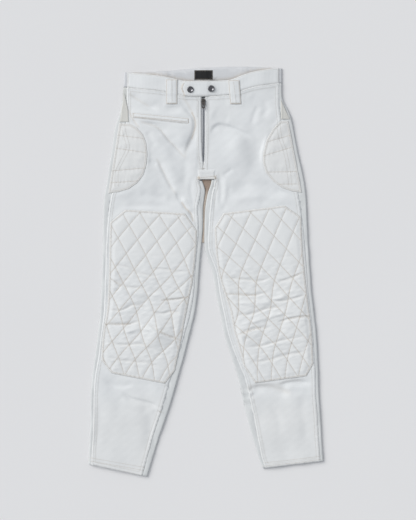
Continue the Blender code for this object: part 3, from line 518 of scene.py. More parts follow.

# %% [markdown]
# White cotton is never one colour. Laundering leaves it a little cool in some places and warm in
# others, and it gathers a faint tan beside the sewing. The tone group gives slow patches, and the
# seam marks that each mesh carries say where the tan belongs. In folds, hollows and the waist's
# opening the same marks carry painted shade.


# %% The tone group
def tone_group():
    outputs = {"Patches": "Float", "Specks": "Float"}
    group, given, made = new_tree("cloth_tone", {"Place": "Vector"}, outputs)
    place = given["Place"]
    specks = calculate(group, "SMOOTH_MIN", noise(group, place, 420, 3, 0.7), 0.62, 0.1)
    feed(group, made, {"Patches": noise(group, place, 7, 4, 0.5), "Specks": specks})
    return group


TONE = tone_group()


# %% A material for cloth
def cloth(name, light, dark, seam_and_shade_tint, pitch=0.0011, slant=0.6):
    """Twill in two tones, with a tint where the mesh is marked: tan at seams, and painted shade."""
    surface, tree, shader, place = new_material(name)
    given = {"Place": place, "Pitch": pitch, "Slant": slant}
    weave = add(tree, "ShaderNodeGroup", given, node_tree=TWILL).outputs
    tone = add(tree, "ShaderNodeGroup", {"Place": place}, node_tree=TONE).outputs
    colour = mix_of(tree, tone["Patches"], dark, light)
    worn = calculate(tree, "MULTIPLY", weave["Shade"], 0.05)
    colour = mix_of(tree, worn, colour, tuple(v * 0.75 for v in dark))
    seam = add(tree, "ShaderNodeAttribute", attribute_name="seam").outputs["Fac"]
    patchy = calculate(tree, "MULTIPLY", seam, calculate(tree, "ADD", tone["Specks"], 0.45))
    feed(tree, shader, {
        "Base Color": mix_of(tree, patchy, colour, seam_and_shade_tint),
        "Roughness": calculate(tree, "MULTIPLY_ADD", tone["Patches"], 0.08, 0.84),
        "Normal": bumped(tree, weave["Height"], 0.00012, 0.8),
        "Sheen Weight": 0.12, "Sheen Roughness": 0.6, "Specular IOR Level": 0.25,
    })
    return surface


TAN = (0.52, 0.44, 0.35)
drill = cloth("white_drill_cloth", (0.755, 0.768, 0.774), (0.693, 0.717, 0.738), TAN)
# the back's drill is the front's white drill toned darker, with a grey tint: painted shade on the flanks
# that wrap round the laid edges
shaded_back_drill = cloth("shaded_back_drill_cloth", (0.715, 0.73, 0.735), (0.655, 0.68, 0.70), (0.47, 0.48, 0.46))
quilted = cloth("quilted_drill_cloth", (0.768, 0.777, 0.777), (0.707, 0.726, 0.741), TAN, 0.0009)
# the inside of the waistband is toned darker than the drill: painted shade inside the waist's opening
shaded_lining = cloth("shaded_waistband_inside_cloth", (0.65, 0.66, 0.675), (0.585, 0.60, 0.63), TAN, slant=-0.6)
knit = cloth("ribbed_knit_cloth", (0.66, 0.675, 0.66), (0.60, 0.615, 0.605), TAN, 0.0007, 0)
# the gusset's tan is partly a guessed cloth colour and partly painted shade of the slit between the legs;
# its dark tint is painted shade
tan_and_shade_cloth = cloth("tan_gusset_and_shade_cloth", (0.62, 0.54, 0.47), (0.54, 0.46, 0.39), (0.24, 0.17, 0.13), 0.0009)
tape_cloth = cloth("zip_tape_cloth", (0.76, 0.77, 0.78), (0.71, 0.72, 0.74), TAN, 0.0006)
black = cloth("black_woven_cloth", (0.018, 0.018, 0.02), (0.01, 0.01, 0.011), (0.03, 0.03, 0.03), 0.0006)
print("cloth materials:", [m.name for m in (drill, quilted, shaded_lining, knit, tan_and_shade_cloth, tape_cloth, black)])

# %% [markdown]
# ## Front panels
#
# Each leg's front is one panel from the waist to the hem. Its main folds were found on the garment:
# a deep slack fold beside the fly, drag lines on the hip, a swelling over the other hip, soft pleats
# at the crotch, and folds below the knees. Each is a short path with its own height and width. A fold
# leans: one flank is steep and the other one gentle, which is what makes cloth look like cloth.

# %% The folds of the front
# height (a trough is below zero), half width, lean towards the path's left, then the path's points
FOLDS = (
    (
        -3, 8, 0.5, (-69, 431), (-52, 409), (-37, 391), (-29, 376), (-29, 356), (-36, 334), (-47, 306),
        (-53, 284),
    ),
    (1.6, 15, 0, (-94, 399), (-69, 369), (-62, 339), (-69, 309)),
    (-1.6, 10, 0, (-52, 289), (-51, 254), (-54, 209)),
    (-3, 6, 0.3, (-194, 446), (-169, 429), (-144, 414), (-116, 402)),
    (-3.6, 4.8, 0.5, (-167, 375), (-134, 366), (-114, 354), (-94, 329), (-74, 309), (-54, 286)),
    (1.5, 13, 0, (-144, 349), (-119, 324), (-99, 299), (-84, 271)),
    (-1.2, 7, 0, (-149, 351), (-137, 331), (-124, 311)),
    (-1.2, 6, 0, (-142, 279), (-122, 265)),
    (-2.9, 5.5, 0.3, (-122, 284), (-107, 251), (-94, 224), (-77, 194)),
    (1.3, 12, 0, (-97, 279), (-82, 246), (-69, 214)),
    (-3.6, 5, 0.5, (-77, 204), (-67, 181), (-54, 161), (-39, 144), (-29, 119)),
    (1.9, 8, -0.3, (-59, 186), (-47, 166), (-32, 146)),
    (-1.3, 8, 0, (-167, 195), (-134, 190), (-94, 184)),
    (-1.6, 9, 0.3, (-102, 181), (-69, 171), (-42, 154)),
    (-1.3, 6, 0, (-34, 239), (-37, 199), (-27, 154)),
    (-3, 8, -0.5, (11, 336), (20, 358), (33, 366), (51, 363), (76, 355), (101, 343), (121, 330)),
    (-1.4, 14, 0, (16, 396), (36, 385), (61, 379)),
    (2.3, 29, 0, (56, 326), (76, 304), (81, 276), (66, 244)),
    (-1.7, 18, 0.2, (138, 364), (137, 324), (131, 292), (116, 258), (96, 226), (72, 194), (48, 159)),
    (-1.1, 6, 0.3, (131, 419), (121, 394), (112, 366)),
    (0.7, 8, 0, (141, 411), (131, 384), (123, 359)),
    (-1.5, 5, 0, (41, 239), (56, 249), (68, 259)),
    (-1.7, 7, 0.2, (33, 254), (38, 209), (36, 159)),
    (1.4, 8, 0, (46, 234), (51, 199), (46, 159)),
    (-1.4, 7, 0, (58, 219), (53, 184), (41, 146)),
    (-1.2, 5, 0, (22, 219), (23, 189), (21, 149)),
    (-1.5, 17, 0, (106, 436), (136, 421), (151, 384)),
    (-1.3, 12, 0, (196, 209), (166, 189), (126, 179)),
    (-2.8, 6, -0.5, (-212, -299), (-187, -316), (-152, -325), (-132, -331), (-112, -344)),
    (1.3, 10, 0, (-214, -316), (-184, -334), (-149, -344)),
    (-1.3, 7, 0.3, (-262, -271), (-229, -284), (-204, -286), (-172, -279)),
    (-1.4, 5, 0, (-134, -346), (-119, -354), (-102, -339)),
    (-1.8, 14, 0, (-147, -351), (-137, -396), (-142, -461)),
    (-0.9, 10, 0, (-262, -321), (-269, -384), (-277, -451)),
    (-4.2, 11, -0.2, (104, -294), (122, -291), (142, -289), (165, -291), (190, -299), (214, -307)),
    (-0.8, 22, 0, (121, -316), (156, -304), (186, -314), (218, -316)),
    (-3.2, 6, -0.5, (178, -284), (211, -275), (236, -274), (263, -279)),
    (1.3, 8, 0, (196, -294), (226, -289), (256, -291)),
    (-2.4, 4, 0, (80, -291), (103, -296), (121, -291)),
    (2, 3.5, 0, (82, -300), (106, -304), (121, -301)),
    (-2.4, 4, 0, (84, -309), (106, -314), (121, -310)),
    (2, 3.5, 0, (88, -319), (108, -322), (121, -320)),
    (-2, 4, 0, (90, -329), (108, -334), (121, -331)),
    (-1, 10, 0, (151, -321), (178, -356), (186, -411)),
    (-1, 11, 0, (243, -301), (243, -359), (253, -431)),
    (-1.8, 13, 0, (61, 206), (116, 216), (173, 209), (226, 191)),
    (1.6, 10, 0, (51, 174), (111, 186), (173, 184), (226, 171)),
    (-1.4, 8, 0, (-199, 169), (-144, 165), (-89, 161)),
    (-1.5, 14, 0, (-139, 214), (-99, 196), (-54, 171)),
    (1.2, 12, 0, (-234, 184), (-194, 199), (-149, 209)),
    (-1.2, 9, 0, (141, 434), (151, 409), (141, 379)),
    (-1.3, 10, 0, (-139, 426), (-94, 409), (-59, 399)),
    (-2, 4.5, 0.3, (-194, 411), (-187, 386), (-169, 359)),
)


def fold_relief(folds, x, y):
    total = np.zeros(x.shape)
    for height, width, lean, *path in folds:
        points = np.array(path, float)
        near = near_box(x, y, points, 3 * width)
        if len(near):
            smooth_path = curve(points, 4)
            length = np.linalg.norm(np.diff(smooth_path, axis=0), axis=1).sum()
            distance, side, place = beside(x[near], y[near], smooth_path)
            spread = width * (1 + lean * side)
            fade = smoothstep(4 * np.minimum(place, length - place) / length)
            total[near] += height * fade * bell(distance, spread)
    return total


print("folds on the front:", len(FOLDS))

# %% [markdown]
# The pieces sewn on top of a panel hold it flat, so its folds die away as they come near one. Beside
# every seam the panel is a little thicker, where its turned edge lies under it, and slightly puckered.

# %% Where the front is held flat
PAIRS = ("knee_patch", "hip_pad", "side_rib", "belt_loop_front")
SEWN_ON = [f"{piece}_{side}" for piece in PAIRS for side in SIDES]
SEWN_ON += ["welt_pocket", "crotch_bridge", "waistband_front_left"]
HELD = {name: closed(outline_of(name)) for name in SEWN_ON}
ZIP_X = -6
ZIP_LINE = ((ZIP_X, 480), (ZIP_X, 262))
ZIP_HELD = 12


def calm(x, y, reach):
    """0 under a piece that is sewn on, rising to 1 at reach from it."""
    free = smoothstep((beside(x, y, ZIP_LINE)[0] - ZIP_HELD) / reach)
    for outline in HELD.values():
        near = near_box(x, y, outline, reach + 2)
        if len(near):
            away = beside(x[near], y[near], outline)[0] - 1.5
            away = np.where(inside(x[near], y[near], outline[:-1]), 0, away)
            free[near] = np.minimum(free[near], smoothstep(away / reach))
    return free


# %% The relief of a front panel
SEAM_LAP = 9
SEAM_RISE = 0.25
SIDE_LAP = 1.3
# the lower legs are tinted a little darker than the rest
SHIN_TINT = 0.06
SHIN_TOP = -285
# the panel rises to the thicker waistband it is sewn to, and to each padded piece on it
WAIST_RISE = 0.8
BANDS = [closed(outline_of("waistband_front_" + side)) for side in SIDES]
PAD_LIFT = {"hip": 0.8, "knee": 0.6, "belt": 0.7, "welt": 0.6, "crotch": 0.3}
# painted shade along the deep folds: strength, half width, then the points
FOLD_SHADE_TINTS = (
    (0.65, 1.7, (-34, 396), (-27, 378), (-27, 359), (-35, 332)),
    (0.65, 1.7, (-60, 172), (-50, 158), (-37, 144), (-32, 126)),
    (0.20, 2.4, (-160, 373), (-134, 366), (-114, 354), (-94, 329), (-74, 309), (-56, 288)),
    (0.18, 2.4, (-122, 280), (-107, 251), (-94, 224), (-77, 196)),
    (0.20, 2.6, (-190, 443), (-169, 429), (-144, 414)),
    (0.34, 2, (-192, 401), (-184, 384), (-169, 361)),
    (0.20, 3, (-57, 436), (-44, 416), (-34, 396)),
    (0.12, 3, (-37, 331), (-49, 304), (-52, 284)),
    (0.14, 7, (104, -291), (128, -285), (156, -284), (183, -292), (205, -301)),
    (0.10, 4, (180, -281), (211, -272), (236, -272)),
)


def front_relief(side, x, y, edge):
    """The relief of one front panel; its seams are puckered."""
    outline = closed(smooth_outline(outline_of("front_" + side), 6))
    free = calm(x, y, 8)
    heights = fold_relief(FOLDS, x, y) * free * smoothstep(edge / 9)
    heights += 1.1 * swell(x, y, 85, 11) * free + 0.2 * swell(x, y, 26, 12) * free
    heights += puckers(x, y, outline, 0.2, 12, 11, 21) * calm(x, y, 5)
    heights += SEAM_RISE * smoothstep((SEAM_LAP - edge) / 1.5) * calm(x, y, 3)
    for band in BANDS:
        heights += WAIST_RISE * along_line(x, y, band, 6)
    for name, held in HELD.items():
        near = near_box(x, y, held, 20)
        lift = PAD_LIFT.get(name.split("_")[0], 0)
        if lift and len(near):
            away = beside(x[near], y[near], held)[0]
            away = np.where(inside(x[near], y[near], held[:-1]), 99, away)
            heights[near] += lift * bell(away, 7)
    groove = bell(edge - SEAM_LAP, 1.2)
    marks = 0.08 * groove + 0.06 * bell(edge, 1.6)
    marks += SHIN_TINT * smoothstep((SHIN_TOP - y) / 60)
    # painted shade darkens the cloth along each deep fold
    for strength, width, *path in FOLD_SHADE_TINTS:
        marks += strength * along_line(x, y, curve(np.array(path, float)), width)
    return heights, unit(marks)


def side_lap(outline, outward):
    """The front reaches a little over the back along the side and inner seams."""
    x, y = outline.T
    sideways = smoothstep((np.abs(outward[:, 0]) - 0.5) / 0.3)
    off_fly = np.maximum(smoothstep((np.abs(x - ZIP_X) - 60) / 20), smoothstep((235 - y) / 30))
    return SIDE_LAP * sideways * off_fly


for side in SIDES:
    lay_piece(
        f"front_panel_{side}", f"front_{side}", drill, 3, 1.1,
        partial(front_relief, side), 14, lap=side_lap,
    )

# %% [markdown]
# ## Quilted knee panels
#
# Each knee is an octagon of drill over wadding, sewn in diamonds. They were drawn on the flat panel, so
# they are ruled in its own frame, across from its outer border and down from its top. A few
# corrections find each point's place in that frame. Between rows of stitches the wadding swells; on a
# row it is pulled down. Where the knee has bent, each diamond has folded along its level diagonal, so
# the crossings get uneven heights and flat triangles span them. A displacement map could do this, but
# the exported shape would stay flat.

# %% The knee panels' frame
KNEE_WIDTH = 216
# border beside the outer seam x and y, border beside the inner seam x and y, down the panel
KNEE_ROWS = {
    "right": (
        (-238.2, 156.9, -23.2, 143.4), (-240.2, 66.4, -22.9, 67.2), (-242, -16.1, -32.4, -22.7),
        (-245.7, -91.1, -44.5, -80), (-256.2, -153.6, -61.6, -173.2), (-260.7, -216.1, -73.6, -228.2),
        (-262, -248.6, -83.2, -283.6),
    ),
    "left": (
        (238, 170.2, 21.8, 142.7), (240.5, 78.9, 23.9, 67.9), (248.8, -21.1, 33.5, -10),
        (256.8, -86.1, 61.5, -98), (264.3, -148.6, 70.4, -148), (268, -211.1, 85.4, -197),
        (269.3, -258.6, 104.3, -281.1),
    ),
}
# one family of rows in each line: offset, spacing, and slant (across per unit down)
KNEE_LINES = {
    "right": ((-20.7, 46, 0.565), (78.2, 51.7, -0.785)),
    "left": ((78.5, 44.2, 0.45), (-29.3, 53.9, -0.82)),
}


def knee_border(side, share):
    """The four border values at a share of the panel's height."""
    rows = curve(np.array(KNEE_ROWS[side]), 8)
    shares = (rows[0, 1] - rows[:, 1]) / (rows[0, 1] - rows[-1, 1])
    return [np.interp(share, shares, rows[:, k]) for k in range(4)]


def knee_place(side, x, y):
    """Each point's place across and down the flat panel."""
    rows = KNEE_ROWS[side]
    height = rows[0][1] - rows[-1][1]
    down = (rows[0][1] - y) / height
    for _ in range(8):
        x0, y0, x1, y1 = knee_border(side, down)
        across = (x - x0) / (x1 - x0)
        down = down + (y0 + (y1 - y0) * across - y) / height
    return across * KNEE_WIDTH, down * height


heights = [round(rows[0][1] - rows[-1][1]) for rows in KNEE_ROWS.values()]
print("knee panels are", KNEE_WIDTH, "mm wide,", heights, "mm high")

# %% [markdown]
# The wearer's knees have bent these panels many times. Across each knee run creases that end in the
# quilting, and behind them the diamonds fold into small triangles. They were found in the same way as
# the folds of the front.

# %% Creases across the knees
KNEE_CREASES = (
    (-1.5, 5, 0.5, (-238, -17), (-214, -33), (-190, -40), (-150, -44)),
    (-1.7, 5, -0.4, (-110, -71), (-76, -69), (-44, -64)),
    (-1.9, 5.5, 0.4, (-252, -128), (-220, -133), (-189, -131), (-160, -124)),
    (-1.7, 5, 0.5, (-150, -128), (-114, -151), (-90, -164), (-62, -172)),
    (1.3, 8, 0.3, (-232, -148), (-196, -150), (-150, -142), (-110, -166)),
    (-1.4, 5, 0.3, (-240, 16), (-200, 12), (-160, -6), (-118, -14)),
    (-1.3, 5, -0.4, (-148, 6), (-110, 8), (-70, 2), (-40, 0)),
    (-1.5, 5.5, 0.5, (-250, -92), (-214, -98), (-176, -84), (-140, -96)),
    (-1.4, 5, -0.3, (-140, -96), (-110, -104), (-80, -98), (-54, -108)),
    (-1.3, 5, 0.3, (-250, -176), (-206, -184), (-160, -182), (-120, -200)),
    (-1.1, 6, 0, (-244, 56), (-206, 50), (-160, 46)),
    (-1.1, 6, 0, (-150, 42), (-110, 40), (-60, 46)),
    (-1.2, 6, 0.4, (-252, -212), (-200, -224), (-150, -228), (-100, -246)),
    (1.1, 8, 0, (-240, -34), (-190, -52), (-140, -58), (-90, -62)),
    (-1.5, 5, 0.4, (51, -55), (88, -58), (125, -59), (160, -50)),
    (-1.5, 5, -0.4, (176, -26), (204, -18), (221, -11), (243, -1)),
    (-1.8, 5.5, 0.5, (78, -158), (108, -148), (136, -141), (170, -146)),
    (-1.7, 5, -0.4, (176, -128), (207, -117), (234, -112), (260, -109)),
    (1.3, 8, 0.2, (84, -134), (130, -122), (180, -108), (220, -96)),
    (-1.6, 5.5, 0.5, (70, -108), (112, -108), (150, -94), (200, -88)),
    (-1.4, 5, -0.3, (150, -70), (196, -72), (256, -56)),
    (-1.4, 5, 0.3, (40, -20), (80, -18), (130, -24), (170, -14)),
    (-1.3, 5, 0.3, (92, -190), (140, -186), (190, -172), (256, -160)),
    (-1.2, 6, 0, (100, -226), (150, -222), (210, -206), (262, -200)),
    (-1, 6, 0, (30, 40), (80, 36), (130, 40)),
    (-1, 6, 0, (140, 30), (190, 36), (240, 44)),
    (1.1, 8, 0, (60, -76), (110, -80), (170, -72), (230, -40)),
)
KNEE_DARTS = {
    "right": (
        ((-238, -17), (-214, -35)), ((-110, -71), (-44, -64)), ((-251, -130), (-189, -131)),
        ((-114, -151), (-64, -171)),
    ),
    "left": (
        ((51, -55), (125, -59)), ((221, -11), (243, -1)), ((80, -157), (136, -141)),
        ((207, -117), (258, -110)),
    ),
}
print("creases across the knees:", len(KNEE_CREASES))

# %% The knee panels
QUILT_RISE = 1.5
QUILT_SOFT = 4
KNEE_HEM = 4
KNEE_RISE = 0.3
FACET_RISE = 8
# bent knees make the creases deeper and narrower than they are in the table
CREASE_DEEPER, CREASE_NARROWER = 1.8, 0.65
# where the panels are worn soft, and the middle of the knee's own bend
WORN_TOP, WORN_FOOT = 70, -275
CUP_X, CUP_Y = 135, -150
CROSSINGS = np.random.default_rng(37).uniform(0, 1, (64, 64))


def facets(first, second):
    """Flat triangles between the crossings of two families of rows, each crossing at its own height."""
    i, j = np.floor(first).astype(int), np.floor(second).astype(int)
    u, v = first - i, second - j
    count = len(CROSSINGS)
    left, below, above, right = (CROSSINGS[(i + p) % count, (j + q) % count] for p in (0, 1) for q in (0, 1))
    upper = left * (1 - u) + above * (u - v) + right * v
    lower = left * (1 - v) + below * (v - u) + right * u
    return np.where(u >= v, upper, lower)


def knee_relief(side, x, y, edge):
    across, down = knee_place(side, x, y)
    nearest = np.full(x.shape, 1e9)
    turns = []
    for offset, spacing, slant in KNEE_LINES[side]:
        turn = (across - offset - slant * down) / spacing
        turns.append(turn)
        nearest = np.minimum(nearest, np.abs(turn - np.round(turn)) * spacing / math.hypot(1, slant))
    puff = 1 - np.exp(-nearest / QUILT_SOFT)
    border = smoothstep((edge - KNEE_HEM) / 12)
    worn = smoothstep((WORN_TOP - y) / 90) * smoothstep((y - WORN_FOOT) / 60)
    cup = bell(y - CUP_Y, 55) * bell(np.abs(x) - CUP_X, 80)
    crumple = 0.3 * swell(x, y * 1.7, 26, 31) + 0.35 * swell(x * 0.6, y * 2, 14, 32)
    bent = 0.05 + worn * (0.25 + 0.9 * cup)
    heights = QUILT_RISE * puff * border * (1 - 0.3 * worn) + KNEE_RISE * smoothstep(edge / 2.5)
    heights += FACET_RISE * facets(*turns) * bent * border
    deep = [(CREASE_DEEPER * row[0], CREASE_NARROWER * row[1], *row[2:]) for row in KNEE_CREASES]
    creases = fold_relief(deep, x, y)
    heights += (creases * (0.3 + 0.7 * puff) * worn + crumple * (0.1 + 0.9 * worn)) * border
    heights += puckers(x, y, closed(outline_of("knee_patch_" + side)), 0.35, 9, 12, 35)
    marks = (0.2 + 0.14 * worn) * bell(nearest, 1.3) * (edge > KNEE_HEM) + 0.1 * bell(edge, 1.5)
    # the crease troughs of the worn knees are tinted darker: partly soil, partly painted shade
    marks += 0.15 * bell(edge - KNEE_HEM, 1) + 0.04 * np.maximum(-creases, 0) * worn
    return np.maximum(heights, 0), unit(marks)


KNEE_CUT = {}
for side in SIDES:
    KNEE_CUT[side] = lay_piece(
        f"knee_panel_{side}", f"knee_patch_{side}", quilted, 2.2, 1, partial(knee_relief, side),
        20, fill=0.35, edge_dip=0.8,
    )

# %% [markdown]
# ## Hip pads
#
# A D-shaped pad lies over each hip, across the side seam. Level rows of stitches divide it into four
# or five channels, and each channel is a long soft roll. Two rows run round its curved edge.

# %% The hip pads
# level seams: from x, y, to x, y
HIP_SEAMS = {
    "right": (
        (-230.1, 341.8, -150.1, 331.4), (-236.1, 309.8, -150.1, 296.8),
        (-236.1, 251.4, -150.1, 258.9), (-240.1, 221.4, -170.1, 226.4),
    ),
    "left": (
        (155.5, 324.7, 214.3, 341.4), (144.3, 288.9, 224.3, 313.4),
        (149.3, 248.2, 226.9, 249.8), (173, 217.8, 225.9, 218.8),
    ),
}
PAD_RISE = 1
PAD_SOFT = 7


def hip_relief(side, x, y, edge):
    nearest = np.full(x.shape, 1e9)
    for x0, y0, x1, y1 in HIP_SEAMS[side]:
        slope = (y1 - y0) / (x1 - x0)
        nearest = np.minimum(nearest, np.abs(y - y0 - slope * (x - x0)))
    puff = 1 - np.exp(-nearest / PAD_SOFT)
    border = smoothstep((edge - 5) / 8)
    heights = PAD_RISE * puff * border + 0.35 * swell(x, y, 24, 41) * border
    ruffle = np.sin(x * math.tau / 11 + 2 * swell(x, y, 40, 42)) * np.exp(-nearest / 4)
    heights += 0.4 * ruffle * border
    marks = 0.18 * bell(nearest, 1.3) * (edge > 4) + 0.08 * bell(edge, 1.5)
    marks += 0.12 * bell(edge - 4.5, 1.1) + 0.06
    return np.maximum(heights, 0), unit(marks)


HIP_CUT = {}
for side in SIDES:
    HIP_CUT[side] = lay_piece(
        f"hip_padding_{side}", f"hip_pad_{side}", quilted, 1.8, 1, partial(hip_relief, side),
        12, fill=0.5, edge_dip=0.8,
    )

# %% [markdown]
# ## Back panels and back waistband
#
# The back of each leg lies on the floor and wraps round both laid edges, so it isn't a plate. Here the
# solid itself is the right cage: its triangles are joined to four-sided faces, the rims are creased,
# and a Subdivision Surface rounds the rest. Only what faces up or sideways is made uneven, because
# the underside lies flat on the floor.


# %% Wrap a piece from its solid
def cage_of(node):
    """A solid's merged points and triangles, ready to edit."""
    points, triangles = solid_mesh(node)
    cage = bmesh.new()
    corners = [cage.verts.new(p * MM) for p in points]
    for triangle in triangles:
        cage.faces.new([corners[k] for k in triangle])
    return cage


def mesh_from(name, cage):
    mesh = bpy.data.meshes.new(name)
    cage.to_mesh(mesh)
    cage.free()
    return mesh


def bake(rough):
    """The mesh that an object's modifiers make; the object goes."""
    fine = bpy.data.meshes.new_from_object(rough.evaluated_get(bpy.context.evaluated_depsgraph_get()))
    bpy.data.objects.remove(rough)
    return fine


def wrap_piece(name, node, surface, uneven):
    cage = cage_of(node)
    bmesh.ops.join_triangles(
        cage, faces=cage.faces, angle_face_threshold=math.radians(35), angle_shape_threshold=math.radians(35)
    )
    crease = cage.edges.layers.float.new("crease_edge")
    for edge in cage.edges:
        if len(edge.link_faces) == 2 and edge.calc_face_angle() > math.radians(60):
            edge[crease] = 1
    rough = to_scene(name + "_cage", mesh_from(name, cage))
    rounder = rough.modifiers.new("round", "SUBSURF")
    rounder.levels = rounder.render_levels = 2
    fine = bake(rough)
    place, faces = points_and_triangles(fine)
    rise, marks = uneven(*place.T)
    place[:, 2] = np.maximum(place[:, 2] + rise, 0)
    SHELL[name] = (place, face_up(place, faces))
    fine.vertices.foreach_set("co", (place * MM).ravel())
    fine.attributes.new("seam", "FLOAT", "POINT").data.foreach_set("value", marks)
    fine.materials.clear()
    fine.materials.append(surface)
    fine.shade_smooth()
    piece = to_scene(name, fine)
    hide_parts(node)
    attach(piece, BODY)
    return piece


# %% The back panels
# how far from the seam the back blends to the front panel's level, and how far it sinks under the front's
# edge, in mm
SEAM_BLEND = 9
SEAM_SINK = 0.5


def back_relief(side):
    """Uneven where it faces up, and level with the front panel along their seam."""
    seams = closed(smooth_outline(outline_of("front_" + side), 6))
    front = SHELL["front_panel_" + side][0]
    tree = KDTree(len(front))
    for k, point in enumerate(front):
        tree.insert((point[0], point[1], 0), k)
    tree.balance()

    def relief(x, y, z):
        free = smoothstep((z - 1.6) / 3)
        rise = 0.45 * swell(x, y, 34, 51) + 0.25 * swell(x, y, 15, 52) + 0.8 * fold_relief(FOLDS, x, y)
        rise += puckers(x, y, seams, 0.2, 12, 11, 53)
        away = beside(x, y, seams)[0]
        steps = []
        for k in np.flatnonzero((away < SEAM_BLEND) & (free > 0)):
            level = front[tree.find((x[k], y[k], 0))[1], 2]
            share = smoothstep(1 - away[k] / SEAM_BLEND)
            steps.append(level - z[k])
            under = SEAM_SINK * (1 - smoothstep(away[k] / 4))
            rise[k] = rise[k] * (1 - share) + (level - under - z[k]) * share
        print(f"back_{side}: steps to the front panel, mm:", np.percentile(steps, (10, 50, 90)).round(2))
        # the low flanks, where the back wraps round the laid edges, are tinted darker grey: painted shade
        marks = (0.06 * bell(away, 1.8) + 0.4 * smoothstep((9 - z) / 6)) * free
        # the corner at the waist on the wearer's right is tinted darker: painted shade in the waist's
        # opening
        marks += 0.5 * smoothstep((y - 425) / 10) * smoothstep((-185 - x) / 8)
        return rise * free, marks

    return relief


for side in SIDES:
    piece = wrap_piece(f"back_panel_{side}", f"back_{side}", shaded_back_drill, back_relief(side))
    print(piece.name, "points:", len(piece.data.vertices))


# %% The back waistband
def band_relief(x, y, z):
    rise = 0.25 * swell(x, y, 30, 55) * smoothstep((z - 1) / 2)
    mouth = np.minimum(*(beside(x, y, band)[0] for band in BANDS))
    rise -= 2 * bell(mouth, 7) * smoothstep((z - 4) / 2)
    between = smoothstep((x + 190) / 12) * smoothstep((172 - x) / 12)
    # the lining is tinted darker beside the front band's top edge: painted shade in the mouth between the
    # two bands
    return rise, 0.6 * bell(mouth, 4.5) * between


piece = wrap_piece("waistband_inside", "waistband_back", shaded_lining, band_relief)

# %% [markdown]
# ## Small pieces of cloth
#
# The front waistband, belt loops, welt, ribs, bridge, gusset and label are plates like the panels.
# They differ in relief: a waistband has a thick turned edge, a rib is a row of fine cords, and a label
# is nearly flat.


# %% Reliefs of the small pieces
def flat_relief(height, wave, seed, tint=0.25):
    def relief(x, y, edge):
        return height * swell(x, y, wave, seed), tint * bell(edge, 1.4)

    return relief


def turned_relief(height, wave, seed, rows=(2.2,), tint=0.15, drop_off=0.5):
    """A band with a soft hollow along each row of stitches beside its edge."""

    def relief(x, y, edge):
        ripple = 0.07 * np.sin(x * math.tau / 9 + swell(x, y, 25, seed + 1))
        heights = height * swell(x, y, wave, seed) + ripple
        heights = heights * smoothstep(edge / 6) - drop_off * (1 - smoothstep(edge / 6))
        marks = 0.12 * bell(edge, 1.2)
        for row in rows:
            groove = bell(edge - row, 1.1)
            heights = heights - 0.3 * groove
            marks = marks + tint * groove
        return heights, unit(marks)

    return relief


RIB_PITCH = 3.2


def rib_relief(x, y, edge):
    cord = np.abs(np.sin(math.pi * x / RIB_PITCH + 0.15 * swell(x, y, 20, 61)))
    # the hollows between the cords are tinted darker: painted shade
    return 0.7 * cord * smoothstep(edge / 1.5) - 0.35, 0.5 * (1 - cord)


WELT_ROW = ((-176, 386.4), (-110, 380.5), (-49, 374.2))


def welt_relief(x, y, edge):
    heights, marks = turned_relief(0.15, 26, 64, (1.8,))(x, y, edge)
    middle = beside(x, y, WELT_ROW[::2])[0]
    heights = heights + 0.45 * bell(middle, 3) - 0.4
    return heights, unit(marks + 0.35 * bell(middle, 1))


def gusset_relief(x, y, edge):
    """Its middle bulges up into the slit, and it is tinted darkest at the crotch: painted shade under the
    bridge.
    """
    return 2 * smoothstep((edge - 7) / 5), 0.8 * smoothstep((y - 185) / 25)


# the foot of the bridge, where its lip stays thick
BRIDGE_LIP = ((-24, 231.5), (2, 232), (28, 233))
# its two corners, which are tinted dark tan
BRIDGE_CORNERS = (((-18, 236), (-16, 230)), ((23, 238), (25, 231)))


def bridge_relief(x, y, edge):
    lip = along_line(x, y, BRIDGE_LIP, 4)
    sunk = 1.5 * (1 - smoothstep(edge / 7)) * (1 - lip)
    ruffled = 0.3 * np.sin(y * math.tau / 3.6 + 1.5 * swell(x, y, 14, 79)) * smoothstep(edge / 4)
    # the ruffles' troughs are tinted a little darker: painted shade
    marks = 0.1 * (ruffled < -0.1) * smoothstep(edge / 3) + 0.2 * lip
    for corner in BRIDGE_CORNERS:
        marks += 0.7 * along_line(x, y, corner, 2.2)
    return ruffled - sunk - 0.5 + 0.4 * lip, unit(marks)


# where rows of stitches run beside the edges
BAND_ROWS, LOOP_ROWS = (2.4, 34.5), (1.8,)
# the tab's pointed end, tinted tan along its edge: tan thread, and painted shadow under the edge
TAB_TIP = ((-57.5, 470), (-61.6, 455.6), (-53, 437.5))


def tab_relief(x, y, edge):
    heights, marks = turned_relief(0.35, 40, 73, BAND_ROWS, 0.04)(x, y, edge)
    heights = heights - (1 - smoothstep(edge / 5)) * smoothstep((455 - y) / 8)
    # tan thread and painted shadow along the tab's pointed edge
    return heights, unit(marks + 0.75 * along_line(x, y, TAB_TIP, 1.4))


